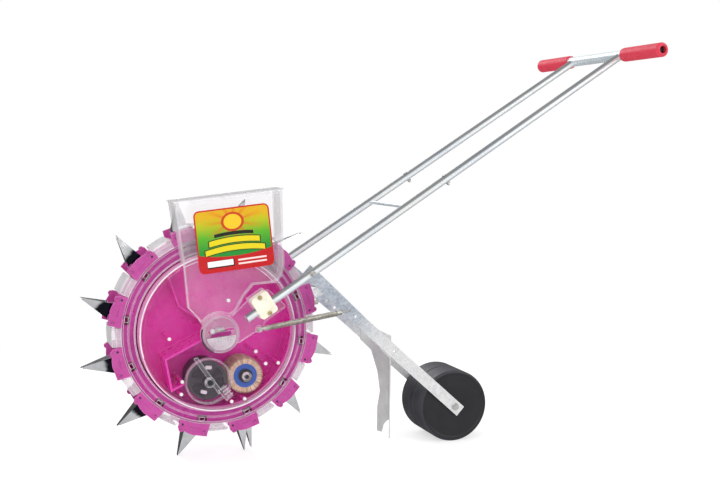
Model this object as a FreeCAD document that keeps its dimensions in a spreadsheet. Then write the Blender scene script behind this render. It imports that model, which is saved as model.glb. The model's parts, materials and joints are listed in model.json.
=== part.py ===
"""Push seeder: a drum planter with twelve opening beaks, a seed hopper, a long handle and a press wheel.

Shapes are made about the drum axis (X to the rear, Y across, Z up) and every sub-part is then
placed at drum_x, drum_z, so the origin is the middle of the overall box on the ground.
Millimetres throughout. "Near" is the -Y side, where the seed housing and the hopper are.
"""

import FreeCAD, Part
import Sketcher
import math
import os
from FreeCAD import Placement, Rotation, Vector

SIZES = [
    # drum and beaks
    ("tip_reach", 270.0, "drum axis to the beak tips"),
    ("first_tip", 135.0, "angle of the first beak tip, from the rear towards the top"),
    ("beak_count", 12, "beaks round the drum"),
    ("band_outer", 188.0, "outside of the pocket band"),
    ("band_inner", 184.0, "inside of the pocket band"),
    ("vane_inner", 161.0, "inner ends of the pocket vanes"),
    ("vane_wall", 2.5, "thickness of a pocket vane"),
    ("web_wall", 2.0, "web that closes the pockets near the cover"),
    ("ring_near", -48.0, "near side of the pocket band"),
    ("ring_far", 46.0, "far side of the pocket band"),
    ("lip_near", -54.0, "front of the near ring's lip"),
    ("disc_wall", 3.0, "thickness of the drum disc"),
    ("drum_hub", 26.0, "radius of the drum disc's hub"),
    ("bearing_outer", 13.0, "outside of the drum bearing"),
    ("running_gap", 0.06, "radial clearance of a turning fit"),
    ("axle_radius", 8.0, "drum axle"),
    ("axle_near", -91.0, "near end of the axle"),
    ("axle_far", 112.0, "far end of the axle"),
    # seed housing
    ("shell_outer", 157.0, "outside of the fixed seed housing"),
    ("shell_wall", 3.0, "wall of the seed housing"),
    ("shell_back", 11.0, "far face of the housing's back wall"),
    ("cover_join", -50.0, "where the clear cover meets the shell"),
    ("cover_front", -79.0, "near face of the clear cover"),
    ("boss_radius", 3.4, "screw bosses in the housing"),
    ("screw_radius", 1.6, "cover screws"),
    # gears
    ("gear_module", 4.5, "module of the seed drive gears"),
    ("ring_teeth", 66, "teeth of the drum's internal gear"),
    ("roller_teeth", 22, "teeth of the seed roller's gear"),
    ("brush_teeth", 18, "teeth of the brush's gear"),
    ("gear_near", 13.0, "near face of the internal gear"),
    # seed roller and brush
    ("roller_angle", 258.35, "direction of the seed roller from the drum axis"),
    ("brush_angle", 302.0, "direction of the brush from the drum axis"),
    ("roller_radius", 39.0, "seed roller"),
    ("roller_shaft", 6.0, "seed roller's shaft"),
    ("brush_radius", 37.0, "brush over its bristles"),
    ("brush_core", 24.0, "brush's core"),
    ("brush_shaft", 5.0, "brush's shaft"),
    # hopper
    ("hopper_tilt", 6.73, "the hopper's lean to the front"),
    ("hopper_near", -92.0, "near face of the hopper"),
    ("hopper_mid", -56.0, "far face of the hopper beside the drum"),
    ("hopper_back", -24.0, "far face of the hopper above the drum"),
    ("hopper_wall", 2.5, "hopper wall"),
    ("hopper_top", 267.0, "height of the hopper's rim over the drum axis"),
    ("lid_overhang", 3.0, "how far the lid stands out past the rim"),
    # handle
    ("tube_radius", 8.0, "handle tubes"),
    ("tube_wall", 1.6, "wall of the handle tubes"),
    ("tube_low_x", 46.5, "low end of a handle tube"),
    ("tube_low_y", 117.0, "low end of a handle tube"),
    ("tube_low_z", 31.4, "low end of a handle tube"),
    ("bar_x", 882.4, "handlebar centre"),
    ("bar_y", 101.6, "where a tube meets the handlebar"),
    ("bar_z", 576.1, "handlebar centre"),
    ("bar_radius", 11.0, "handlebar tube"),
    ("bar_half", 250.0, "half the handlebar's length"),
    ("grip_radius", 15.0, "grips"),
    ("grip_hole", 8.0, "hole in the end of a grip"),
    ("grip_inner", 116.0, "inner end of a grip"),
    ("grip_outer", 259.0, "outer end of a grip"),
    ("joint_share", 0.54, "where the upper tube takes over, as a share of the tube's length"),
    # press wheel frame
    ("pivot_x", 178.8, "pivot of the press wheel frame"),
    ("pivot_z", 117.6, "pivot of the press wheel frame"),
    ("pivot_bolt", 4.0, "pivot bolts"),
    ("leg_width", 25.0, "width of a leg"),
    ("leg_wall", 3.0, "thickness of a leg"),
    ("leg_top_y", 102.5, "middle of a leg at its pivot"),
    ("leg_low_y", 62.7, "middle of a leg at the wheel"),
    ("press_x", 519.0, "press wheel axle"),
    ("press_radius", 77.0, "press wheel"),
    ("press_half", 58.0, "half the press wheel's width"),
    ("press_axle", 5.0, "press wheel's axle bolt"),
    ("blade_wall", 2.5, "thickness of a covering blade"),
    ("blade_turn", 20.9, "angle of a covering blade behind straight across"),
]


class Size:
    """A number that remembers the sheet expression it comes from."""

    def __init__(self, number, text):
        self.number = float(number)
        self.text = text

    def __float__(self):
        return self.number

    def __add__(self, other):
        other = as_size(other)
        return Size(self.number + other.number, f"({self.text} + {other.text})")

    def __sub__(self, other):
        other = as_size(other)
        return Size(self.number - other.number, f"({self.text} - {other.text})")

    def __mul__(self, factor):
        factor = as_size(factor)
        return Size(self.number * factor.number, f"({self.text} * {factor.text})")

    def __neg__(self):
        return Size(-self.number, f"(-1 * {self.text})")


def as_size(value):
    return value if isinstance(value, Size) else Size(value, f"({float(value)!r})")


doc = FreeCAD.newDocument("PushSeeder")
sheet = doc.addObject("Spreadsheet::Sheet", "Sizes")


class Cells:
    """The sheet's sizes by alias: s.tip_reach, and so on."""

    def add(self, alias, number, meaning):
        row = len(vars(self)) + 1
        sheet.set(f"A{row}", meaning)
        sheet.set(f"B{row}", repr(number))
        sheet.setAlias(f"B{row}", alias)
        setattr(self, alias, Size(number, f"Sizes.{alias}"))


s = Cells()
for alias_name, cell_number, cell_meaning in SIZES:
    s.add(alias_name, cell_number, cell_meaning)

# where the drum axis stands: the overall box is centred on x = 0 and rests on z = 0
half_step = math.radians(180 / float(s.beak_count))
ground_drop = float(s.tip_reach) * math.cos(half_step)
s.add("drum_z", ground_drop, "height of the drum axis, on two beak tips")
s.add("drum_x", (ground_drop - s.bar_x.number - s.grip_radius.number) / 2, "drum axis, fore and aft")
s.add("press_z", s.press_radius.number - ground_drop, "press wheel axle below the drum axis")
doc.recompute()

STEP = 360 / int(s.beak_count.number)
ANTI = Vector(0, -1, 0)  # turning about this axis goes from the rear towards the top
parts = {}


# ---- helpers -------------------------------------------------------------------------------


def bind(thing, prop, size):
    thing.setExpression(prop, as_size(size).text)


def keep(thing, label, at=None):
    """Names a finished sub-part and puts it in its place."""
    thing.Label = label
    thing.Placement = at or Placement(Vector(s.drum_x.number, 0, s.drum_z.number), Rotation())
    if at is None:
        bind(thing, "Placement.Base.x", s.drum_x)
        bind(thing, "Placement.Base.z", s.drum_z)
    parts[label] = thing
    return thing


def keep_shape(label, shape):
    """A sub-part whose shape is made here, about the drum axis."""
    thing = doc.addObject("Part::Feature", label + "_shape")
    thing.Shape = Part.makeCompound(shape.Solids)
    return keep(thing, label)


def new_body(name):
    return doc.addObject("PartDesign::Body", name + "_body")


def plane(body, role):
    return next(f for f in body.Origin.OriginFeatures if f.Role == role)


def new_sketch(body, role, offset=0):
    """A sketch on one of the body's own planes, moved along the plane's normal."""
    sketch = body.newObject("Sketcher::SketchObject", body.Name + "_sketch")
    sketch.AttachmentSupport = [(plane(body, role), "")]
    sketch.MapMode = "FlatFace"
    bind(sketch, "AttachmentOffset.Base.z", offset)
    return sketch


def fix(sketch, kind, edge, point, size):
    size = as_size(size)
    if kind == "Radius":
        index = sketch.addConstraint(Sketcher.Constraint(kind, edge, size.number))
    else:
        index = sketch.addConstraint(Sketcher.Constraint(kind, -1, 1, edge, point, size.number))
    sketch.setExpression(f"Constraints[{index}]", size.text)


def outline(sketch, corners):
    """A closed outline of straight lines through corners, each a pair of sizes."""
    first = sketch.GeometryCount
    spots = [Vector(float(a), float(b), 0) for a, b in corners]
    count = len(spots)
    for i in range(count):
        sketch.addGeometry(Part.LineSegment(spots[i], spots[(i + 1) % count]))
    for i in range(count):
        sketch.addConstraint(Sketcher.Constraint("Coincident", first + i, 2, first + (i + 1) % count, 1))
    for i, (a, b) in enumerate(corners):
        fix(sketch, "DistanceX", first + i, 1, a)
        fix(sketch, "DistanceY", first + i, 1, b)
    return sketch


def circle(sketch, a, b, radius):
    edge = sketch.addGeometry(Part.Circle(Vector(float(a), float(b), 0), Vector(0, 0, 1), float(radius)))
    fix(sketch, "DistanceX", edge, 3, a)
    fix(sketch, "DistanceY", edge, 3, b)
    fix(sketch, "Radius", edge, 0, radius)
    return sketch


def pad(body, sketch, length):
    feature = body.newObject("PartDesign::Pad", body.Name + "_pad")
    feature.Profile = sketch
    bind(feature, "Length", length)
    return feature


def pocket(body, sketch, length, forward=False):
    """Cuts along the sketch's normal if forward, and against it if not."""
    feature = body.newObject("PartDesign::Pocket", body.Name + "_pocket")
    feature.Profile = sketch
    feature.Reversed = forward
    bind(feature, "Length", length)
    return feature


def revolve(body, sketch):
    """Turns a sketch on the XY plane about Y."""
    feature = body.newObject("PartDesign::Revolution", body.Name + "_turn")
    feature.Profile = sketch
    feature.ReferenceAxis = (sketch, ["V_Axis"])
    feature.Angle = 360
    return feature


def ring_of(body, feature, count):
    """Repeats a feature round the drum axis."""
    doc.recompute()
    pattern = body.newObject("PartDesign::PolarPattern", body.Name + "_ring")
    pattern.Originals = [feature]
    pattern.Axis = (plane(body, "Y_Axis"), [""])
    pattern.Angle = 360
    pattern.Occurrences = count
    body.Tip = pattern
    return pattern


def turned_body(label, corners):
    """A body of revolution about Y, from (radius, y) corners."""
    body = new_body(label)
    revolve(body, outline(new_sketch(body, "XY_Plane"), corners))
    return body


def slab(corners, y_low, y_high):
    """A flat plate from (x, z) corners, between two values of y."""
    closed = list(corners) + [corners[0]]
    wire = Part.makePolygon([Vector(float(a), float(y_low), float(b)) for a, b in closed])
    return Part.Face(wire).extrude(Vector(0, float(y_high) - float(y_low), 0))


def rod(x, z, radius, y_low, y_high):
    """A round bar across the machine."""
    length = float(y_high) - float(y_low)
    start = Vector(float(x), float(y_low), float(z))
    return Part.makeCylinder(float(radius), length, start, Vector(0, 1, 0))


def block(u_low, u_high, y_low, y_high, v_low, v_high):
    return Part.makeBox(u_high - u_low, y_high - y_low, v_high - v_low, Vector(u_low, y_low, v_low))


def all_round(shape):
    """One copy of the shape at every beak, as a group of separate solids."""
    copies = []
    for k in range(int(s.beak_count.number)):
        copy = shape.copy()
        copy.rotate(Vector(), ANTI, s.first_tip.number + k * STEP)
        copies.append(copy)
    return Part.makeCompound(copies)


def polar(radius, degrees):
    """The (x, z) of a point at a radius and an angle about the drum axis."""
    turn = math.radians(degrees)
    return radius * math.cos(turn), radius * math.sin(turn)


def mirrored(shape):
    return shape.mirror(Vector(), Vector(0, 1, 0))


def across(shape, side):
    """The shape on the near side (-1) or its mirror image on the far side (1)."""
    return shape if side < 0 else mirrored(shape)


# ---- places that several sub-parts share ---------------------------------------------------------

ring_pitch = s.gear_module.number * s.ring_teeth.number / 2
roller_pitch = s.gear_module.number * s.roller_teeth.number / 2
brush_pitch = s.gear_module.number * s.brush_teeth.number / 2
roller_x, roller_z = polar(ring_pitch - roller_pitch, s.roller_angle.number)
brush_x, brush_z = polar(ring_pitch - brush_pitch, s.brush_angle.number)
s.add("roller_x", roller_x, "seed roller axis")
s.add("roller_z", roller_z, "seed roller axis")
s.add("brush_x", brush_x, "brush axis")
s.add("brush_z", brush_z, "brush axis")
doc.recompute()

SCREWS = [(-98.9, -8.1), (-73.5, -94), (-75.4, -118.8), (25.5, -139), (52, -135),
          (74.5, -40.4), (95, -66), (120.9, -65.7)]
FRONT_SCREW = (15.7, 65.7)
ANCHOR = (77, 7)
ANCHOR_POST = 2.5
SPRING_Y = 99  # from the middle to the spring's eye
THROAT_WIDE = 16  # half the throat's width across the machine
WEB_WINDOW = [polar(172.5, -12), polar(183.5, -12), polar(183.5, -5.7), polar(172.5, -5.7)]
LID_HINGE = (-22.5, 1.7)  # the lid's hinge line: y, and height over the rim
LID_KNUCKLE = 1.6
LID_WIRE = 0.8
KNUCKLES = [-50, -38, 42, 54, 146]  # along the rim, turn about on the hopper and the lid
KNUCKLE_LENGTH = 10
tube_low = Vector(s.tube_low_x.number, -s.tube_low_y.number, s.tube_low_z.number)
tube_high = Vector(s.bar_x.number, -s.bar_y.number, s.bar_z.number)
tube_line = tube_high - tube_low
tube_way = tube_line / tube_line.Length


def in_hopper(a, b):
    """A point given along and up the leaning hopper, as (x, z) about the drum axis."""
    turn = math.radians(s.hopper_tilt.number)
    return a * math.cos(turn) - b * math.sin(turn), a * math.sin(turn) + b * math.cos(turn)


def through_tube(share, radius, lift, drop):
    """A round bar square through the near handle tube, upright in the side view."""
    centre = tube_low + tube_line * share
    up = Vector(-tube_way.z, 0, tube_way.x)
    up.normalize()
    return Part.makeCylinder(radius, lift + drop, centre - up * drop, up)


# ---- the drum --------------------------------------------------------------------------------------


def make_pocket_ring():
    """The band that carries the beaks, closed near the cover by a web, with a vane between each two
    seed pockets."""
    web_near = s.ring_near + 0.5
    body = turned_body("pocket_ring", [
        (s.band_inner, s.ring_near), (s.band_outer, s.ring_near),
        (s.band_outer, s.ring_far), (s.band_inner, s.ring_far),
        (s.band_inner, web_near + s.web_wall), (s.vane_inner, web_near + s.web_wall),
        (s.vane_inner, web_near), (s.band_inner, web_near),
    ])
    vane = outline(new_sketch(body, "XZ_Plane", -s.ring_far), [
        (s.vane_inner, -s.vane_wall * 0.5), (s.band_inner + 1, -s.vane_wall * 0.5),
        (s.band_inner + 1, s.vane_wall * 0.5), (s.vane_inner, s.vane_wall * 0.5),
    ])
    ring_of(body, pad(body, vane, s.ring_far - web_near), int(s.beak_count.number))
    # a throat in the band under each beak, a little behind the line to its tip
    sides = [(-THROAT_WIDE, -49), (THROAT_WIDE, -49), (THROAT_WIDE, -33), (-THROAT_WIDE, -33)]
    throat = outline(new_sketch(body, "YZ_Plane", s.band_inner - 14), sides)
    ring_of(body, pocket(body, throat, 20, forward=True), int(s.beak_count.number))
    # a window in the web beside each throat
    window = outline(new_sketch(body, "XZ_Plane", -s.ring_near - 4), WEB_WINDOW)
    ring_of(body, pocket(body, window, 8, forward=True), int(s.beak_count.number))
    return body


def make_near_ring():
    """The clear annulus on the near side, with a bead at each edge and twelve windows."""
    flat = s.lip_near + 3.5
    inner = s.vane_inner - 0.5
    body = turned_body("near_ring", [
        (inner, s.lip_near + 1.5), (inner + 2.5, s.lip_near + 1.5), (inner + 2.5, flat),
        (inner + 12, flat), (inner + 13, flat - 1.2), (inner + 14.5, flat - 1.2), (inner + 15.5, flat),
        (s.band_outer - 3.5, flat), (s.band_outer - 3.5, s.lip_near),
        (s.band_outer, s.lip_near), (s.band_outer, s.ring_near), (inner, s.ring_near),
    ])
    corners = [(174.5, -34), (180.5, -34), (180.5, -24), (174.5, -24)]
    window = outline(new_sketch(body, "XZ_Plane", -s.ring_near - 2), corners)
    ring_of(body, pocket(body, window, 12, forward=True), int(s.beak_count.number))
    return body


def make_drum_disc():
    """The far side of the drum: a ribbed disc with a hub for the bearing."""
    inside, outside = s.ring_far, s.ring_far + s.disc_wall
    body = turned_body("drum_disc", [
        (s.bearing_outer, inside - 24), (s.drum_hub, inside - 24), (s.drum_hub, inside),
        (s.band_outer, inside), (s.band_outer, outside + 3), (s.band_outer - 4, outside + 3),
        (s.band_outer - 4, outside), (s.drum_hub, outside), (s.drum_hub, outside + 7),
        (s.bearing_outer, outside + 7),
    ])
    rib = outline(new_sketch(body, "XZ_Plane", -(outside + 3)), [
        (s.drum_hub - 1, -2), (s.band_outer - 3, -2), (s.band_outer - 3, 2), (s.drum_hub - 1, 2),
    ])
    ring_of(body, pad(body, rib, 4), 12)
    return body


def involute(angle):
    return math.tan(angle) - angle


def gear_wire(teeth, tip_step, root_step, play, first_angle, flank_steps=4):
    """A spur gear's outline. The steps say how far the tips and roots lie from the pitch circle."""
    module = s.gear_module.number
    pitch = module * teeth / 2
    pressure = math.radians(20)
    base = pitch * math.cos(pressure)
    half_tooth = math.pi / (2 * teeth) - play / (2 * pitch)
    low = max(pitch - root_step * module, base + 0.01)
    high = pitch + tip_step * module
    flank = []
    for i in range(flank_steps + 1):
        radius = low + (high - low) * i / flank_steps
        flank.append((radius, half_tooth + involute(pressure) - involute(math.acos(base / radius))))
    root = pitch - root_step * module
    rising = [(root, flank[0][1])] + flank if root < low - 0.05 else flank
    points = []
    for k in range(teeth):
        middle = math.radians(first_angle) + 2 * math.pi * k / teeth
        for radius, half in [(r, -a) for r, a in rising] + [(r, a) for r, a in reversed(rising)]:
            points.append(Vector(radius * math.cos(middle + half), 0, radius * math.sin(middle + half)))
    return Part.makePolygon(points + [points[0]])


def meshing_angle(teeth, direction):
    """The angle of a pinion's tooth that lies in a space of the internal gear, whose spaces
    start at the seed roller's direction."""
    ring_step = 360 / s.ring_teeth.number
    behind = (s.roller_angle.number - direction) % ring_step
    return direction + behind * s.ring_teeth.number / teeth


def make_ring_gear():
    """The internal gear that drives the seed roller and the brush."""
    width = s.ring_far.number - s.gear_near.number
    teeth = int(s.ring_teeth.number)
    spaces = gear_wire(teeth, 1.2, 0.9, -0.35, s.roller_angle.number)
    blank = rod(0, 0, s.shell_outer + 2, s.gear_near, s.ring_far)
    hollow = Part.Face(spaces).extrude(Vector(0, width, 0))
    hollow.translate(Vector(0, s.gear_near.number, 0))
    return keep_shape("ring_gear", blank.cut(hollow))


def pinion(teeth, direction, y_low, y_high):
    """A pinion about its own axis, in mesh with the internal gear."""
    outside = gear_wire(teeth, 0.85, 1.15, 0.35, meshing_angle(teeth, direction))
    gear = Part.Face(outside).extrude(Vector(0, y_high - y_low, 0))
    gear.translate(Vector(0, y_low, 0))
    return gear


def make_seat():
    """The moulded foot of one beak: two cheeks, a floor with a throat and two ears."""
    cheek = [(183, -24), (206, -24), (212.5, -2), (214, 8), (211.5, 37), (183, 37)]
    seat = slab(cheek, -50, -44).fuse([
        slab(cheek, 44, 50),
        block(183, 197, -44, 44, -24, 37),
        slab([(197, 18.5), (211, 19), (211, 29), (197, 32)], 17.5, 20.5),
        slab([(197, 18.5), (211, 19), (211, 29), (197, 32)], -20.5, -17.5),
    ])
    seat = seat.cut([
        rod(0, 0, s.band_outer, -60, 60),
        block(180, 200, -16, 16, -1, 16),
        rod(206, 24, 2, -30, 30),
    ])
    return seat.removeSplitter()


def beak_width(u):
    """Half the width of a beak across the machine, u from the drum axis: it tapers to the tip."""
    return 20 if u < 213 else 5 + (s.tip_reach.number - u) * 15 / 57


def taper(inset, u_low, u_high):
    """A solid whose sides follow the beak's taper, each moved in by inset."""
    stations = [u_low, 213, u_high]
    side = [(u, beak_width(u) - inset) for u in stations]
    corners = side + [(u, -w) for u, w in reversed(side)]
    wire = Part.makePolygon([Vector(u, w, -40) for u, w in corners + [corners[0]]])
    return Part.Face(wire).extrude(Vector(0, 0, 100))


def make_fixed_beak():
    """The fixed half of a beak: a folded sheet, open to the rear of its travel, with a foot."""
    reach = s.tip_reach.number
    outer = slab([(197, -5), (213, -4), (reach, 0), (213, 17), (197, 17)], -25, 25)
    hollow = slab([(190, -3.6), (213, -2.6), (264, 1.0), (264, 30), (190, 30)], -25, 25)
    shell = outer.common(taper(0, 190, reach + 1))
    shell = shell.cut(hollow.common(taper(1.5, 190, reach)))
    foot = block(197, 198.5, -20, 20, -18, -4.6)
    return shell.fuse(foot).removeSplitter()


def make_flap():
    """The moving half of a beak: a smaller folded sheet with a knuckle on its hinge pin."""
    outer = slab([(200, 14), (200, 28), (210, 28), (266, 3.4), (262.5, 2.6), (210, 12)], -25, 25)
    hollow = slab([(190, 0), (190, 26.4), (209.6, 26.4), (258, 5), (258, 0)], -25, 25)
    sheet_half = outer.common(taper(3, 190, 268))
    sheet_half = sheet_half.cut(hollow.common(taper(4.4, 190, 259)))
    knuckle = rod(206, 24, 4, -17, 17)
    flap = sheet_half.fuse(knuckle).cut(rod(206, 24, 2 + s.running_gap.number, -30, 30))
    return flap.removeSplitter()


def make_beaks():
    keep_shape("seats", all_round(make_seat()))
    keep_shape("fixed_beaks", all_round(make_fixed_beak()))
    keep_shape("hinge_pins", all_round(rod(206, 24, 2, -22, 22)))
    for k in range(int(s.beak_count.number)):
        flap = make_flap()
        if k == 5:
            # the sixth flap is stored a little open
            flap.rotate(Vector(206, 0, 24), ANTI, 12)
        flap.rotate(Vector(), ANTI, s.first_tip.number + k * STEP)
        keep_shape(f"flap_{k + 1:02d}", flap)


def make_spacers():
    """Clear covers between the seats: arched strips open to the band."""
    rim = s.band_outer.number
    profile = [(rim, -48), (rim + 10, -48), (rim + 18, -40), (rim + 18, 40), (rim + 10, 48), (rim, 48),
               (rim, 46), (rim + 9, 46), (rim + 16, 39), (rim + 16, -39), (rim + 9, -46), (rim, -46)]
    face = Part.Face(Part.makePolygon([Vector(r, y, 0) for r, y in profile + [profile[0]]]))
    face.rotate(Vector(), ANTI, 11.5)
    return keep_shape("spacers", all_round(face.revolve(Vector(), ANTI, 10.8)))


def make_drum():
    keep(make_pocket_ring(), "pocket_ring")
    keep(make_near_ring(), "near_ring")
    keep(make_drum_disc(), "drum_disc")
    keep(turned_body("drum_bearing", [
        (s.axle_radius + s.running_gap, s.ring_far - 26), (s.bearing_outer, s.ring_far - 26),
        (s.bearing_outer, s.ring_far + 11), (s.axle_radius + s.running_gap, s.ring_far + 11),
    ]), "drum_bearing")
    make_ring_gear()
    make_beaks()
    make_spacers()


# ---- the fixed housing -----------------------------------------------------------------------------


def make_axle():
    axle = doc.addObject("Part::Cylinder", "axle_rod")
    bind(axle, "Radius", s.axle_radius)
    bind(axle, "Height", s.axle_far - s.axle_near)
    place = Vector(s.drum_x.number, s.axle_near.number, s.drum_z.number)
    stand = Placement(place, Rotation(Vector(1, 0, 0), -90))
    keep(axle, "axle", stand)
    nuts = []
    hexagon = [polar(14, 60 * k) for k in range(6)]
    for y in (s.axle_near.number + 1, s.axle_far.number - 12):
        nuts.append(slab(hexagon, y, y + 8).cut(rod(0, 0, s.axle_radius, y - 1, y + 9)))
    keep_shape("axle_nuts", Part.makeCompound(nuts))


def make_inner_shell():
    """The fixed magenta pan behind the seeds, with its hub sleeve, screw bosses and guide walls."""
    back = s.shell_back - s.shell_wall
    inner = s.shell_outer - s.shell_wall
    front = s.cover_front + s.shell_wall
    body = turned_body("inner_shell", [
        (s.axle_radius, front), (s.axle_radius + 6, front), (s.axle_radius + 6, back),
        (inner, back), (inner, s.cover_join), (s.shell_outer, s.cover_join),
        (s.shell_outer, s.shell_back), (s.axle_radius, s.shell_back),
    ])
    height = s.shell_back - front - 1
    bosses = new_sketch(body, "XZ_Plane", -(s.shell_back - 1))
    for x, z in SCREWS:
        circle(bosses, x, z, s.boss_radius)
    pad(body, bosses, height)
    walls = new_sketch(body, "XZ_Plane", -(s.shell_back - 1))
    outline(walls, [(-15, -3), (-46, -18.6), (-107, -49), (-94, -114), (-66.5, -100.5), (-67.5, -97.5),
                    (-91.5, -109), (-103.5, -50.6), (-44.8, -21.5), (-13, -6)])
    pad(body, walls, height - 2)
    lean = new_sketch(body, "XZ_Plane", -(s.shell_back - 1))
    outline(lean, [(-13, 8), (-70, 46), (-96, 122), (-93, 123), (-67.5, 48), (-12, 11)])
    pad(body, lean, 26)
    holes = new_sketch(body, "XZ_Plane", -(s.shell_back + 1))
    circle(holes, s.roller_x, s.roller_z, s.roller_shaft + s.running_gap)
    circle(holes, s.brush_x, s.brush_z, s.brush_shaft + s.running_gap)
    pocket(body, holes, s.shell_wall + 2, forward=True)
    drilled = new_sketch(body, "XZ_Plane", -(front - 1))
    for x, z in SCREWS:
        circle(drilled, x, z, s.screw_radius)
    pocket(body, drilled, 13)
    outlet = outline(new_sketch(body, "XY_Plane", -170), [(-75, -40), (-20, -40), (-20, -4), (-75, -4)])
    pocket(body, outlet, 40, forward=True)
    return body


def hopper_outline(inset):
    """The hopper's outline from the side, moved in by inset, and open upwards when it is."""
    top = s.hopper_top.number + (20 if inset else 0)
    left = [(-61 + inset, top), (-55.7 + inset, 151), (-57.3 + inset, 60), (-39 + inset, 34 + inset * 0.5)]
    right = [(137.4 - inset, 97.6), (144.5 - inset, 123), (147.2 - inset, 164), (156.4 - inset, top)]
    low = [(-29, 14 + inset), (33.5, 37 + inset), (55, 66 + inset), (77, 87 + inset),
           (123.8 - inset, 85 + inset)]
    return [in_hopper(a, b) for a, b in left + low + right]


def hopper_space(inset, near, front_back, mid, back):
    """The hopper's outer solid, or its inside: a shallow front, a middle beside the drum and a top."""
    shape = hopper_outline(inset)
    wall_round = s.shell_outer.number + 0.3 - inset
    crown = 217 + inset
    middle = slab(shape, near, mid).cut(rod(0, 0, wall_round, -120, 120))
    top = slab(shape, near, back).cut(rod(0, 0, crown, -120, 120))
    return slab(shape, near, front_back).fuse([middle, top])


def hinge_rod(radius, a_low, a_high):
    """A round bar along the lid's hinge line, before the hopper's lean."""
    start = Vector(a_low, LID_HINGE[0], s.hopper_top.number + LID_HINGE[1])
    return Part.makeCylinder(radius, a_high - a_low, start, Vector(1, 0, 0))


def leaning(shape):
    """The shape turned to the hopper's lean."""
    return shape.rotated(Vector(), ANTI, s.hopper_tilt.number)


def hopper_knuckles():
    """The hopper's hinge knuckles on its far wall, with the wire that runs through them."""
    top, back = s.hopper_top.number, s.hopper_back.number
    wire = hinge_rod(LID_WIRE, KNUCKLES[0], KNUCKLES[-1])
    stalks = []
    for a in KNUCKLES[::2]:
        low, high = (a, a + KNUCKLE_LENGTH) if a < KNUCKLES[-1] else (a - KNUCKLE_LENGTH, a)
        stalks.append(hinge_rod(LID_KNUCKLE, low, high))
        stalks.append(block(low, high, back, LID_HINGE[0] + LID_KNUCKLE, top - 6, top + LID_HINGE[1]))
    return leaning(wire.fuse(stalks))


def make_hopper():
    near, wall = s.hopper_near.number, s.hopper_wall.number
    outer = hopper_space(0, near, s.cover_front.number, s.hopper_mid.number, s.hopper_back.number)
    inner = hopper_space(wall, near + wall, s.cover_front.number + 3,
                         s.hopper_mid.number - wall, s.hopper_back.number - wall)
    hub = rod(0, 0, 40.5, -120, 0)
    inner_hub = rod(0, 0, 43, -120, 0)
    hopper = outer.cut(hub).cut(inner.cut(inner_hub))
    screw_x, screw_z = FRONT_SCREW
    post = rod(screw_x, screw_z, s.boss_radius, near + wall, s.cover_front)
    hopper = hopper.fuse([post, hopper_knuckles()])
    hopper = hopper.cut(rod(screw_x, screw_z, s.screw_radius, near - 1, near + 9))
    keep_shape("hopper", hopper.removeSplitter())
    return inner.cut(inner_hub)


def make_front_cover(seed_way):
    """The clear cover over the housing, cut away where the hopper opens into it."""
    front, outer = s.cover_front, s.shell_outer
    inner = outer - s.shell_wall
    shape = turned_body("front_cover", [
        (s.axle_radius, front), (outer - 9, front), (outer - 3, front + 2.5), (outer, front + 8),
        (outer, s.cover_join), (inner, s.cover_join), (inner, front + 8.6), (inner - 2, front + 5),
        (outer - 9.5, front + 3), (s.axle_radius, front + 3),
    ])
    brush_boss = new_sketch(shape, "XZ_Plane", -(front + 9))
    circle(brush_boss, s.brush_x, s.brush_z, 9)
    pad(shape, brush_boss, 7)
    holes = new_sketch(shape, "XZ_Plane", -(front - 1))
    for x, z in SCREWS:
        circle(holes, x, z, s.screw_radius)
    circle(holes, s.roller_x, s.roller_z, s.roller_shaft + s.running_gap)
    pocket(shape, holes, 6)
    bore = new_sketch(shape, "XZ_Plane", -(front + 10))
    circle(bore, s.brush_x, s.brush_z, s.brush_shaft + s.running_gap)
    pocket(shape, bore, 7.5, forward=True)
    way = doc.addObject("Part::Feature", "seed_way")
    way.Shape = seed_way
    cover = doc.addObject("Part::Cut", "front_cover_cut")
    cover.Base = shape
    cover.Tool = way
    return keep(cover, "front_cover")


def make_label():
    """A plain printed plate on the hopper's near face, with round corners."""
    plate = slab([in_hopper(a, b) for a, b in ((-27, 121.5), (124.5, 121.5), (124.5, 245.5), (-27, 245.5))],
                 s.hopper_near - 0.6, s.hopper_near)
    corners = [e for e in plate.Edges if abs(e.Length - 0.6) < 0.01]
    keep_shape("hopper_label", plate.makeFillet(11, corners))


def make_lid():
    """The hopper's lid: a flat plate with a lip, hinged along its far edge."""
    top, over = s.hopper_top.number, s.lid_overhang.number
    near, back = s.hopper_near.number, s.hopper_back.number
    corners = [(-61 - over, top + 0.4), (156.4 + over, top + 0.4),
               (156.4 + over, top + 3), (-61 - over, top + 3)]
    plate = slab([in_hopper(a, b) for a, b in corners], near - over, back + 1.5)
    rim = [(-57.5, top - 5), (152, top - 5), (152, top + 1), (-57.5, top + 1)]
    lip = slab([in_hopper(a, b) for a, b in rim], near + 4, near + 6)
    knuckles, notches = [], []
    for i, a in enumerate(KNUCKLES):
        if i % 2:
            knuckles.append(leaning(hinge_rod(LID_KNUCKLE, a, a + KNUCKLE_LENGTH)))
            continue
        low, high = (a, a + KNUCKLE_LENGTH) if a < KNUCKLES[-1] else (a - KNUCKLE_LENGTH, a)
        notches.append(leaning(block(low - 0.5, high + 0.5, back - 1, back + 4, top - 1, top + 6)))
    bore = leaning(hinge_rod(LID_WIRE + s.running_gap.number, KNUCKLES[0], KNUCKLES[-1]))
    lid = plate.fuse([lip] + knuckles).cut(notches + [bore])
    keep_shape("hopper_lid", lid.removeSplitter())


def make_cover_screws():
    screws = []
    for x, z in SCREWS + [FRONT_SCREW]:
        face = s.hopper_near.number if (x, z) == FRONT_SCREW else s.cover_front.number
        screws.append(rod(x, z, 4, face - 2, face).fuse(rod(x, z, s.screw_radius, face, face + 8)))
    keep_shape("cover_screws", Part.makeCompound(screws))


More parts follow.
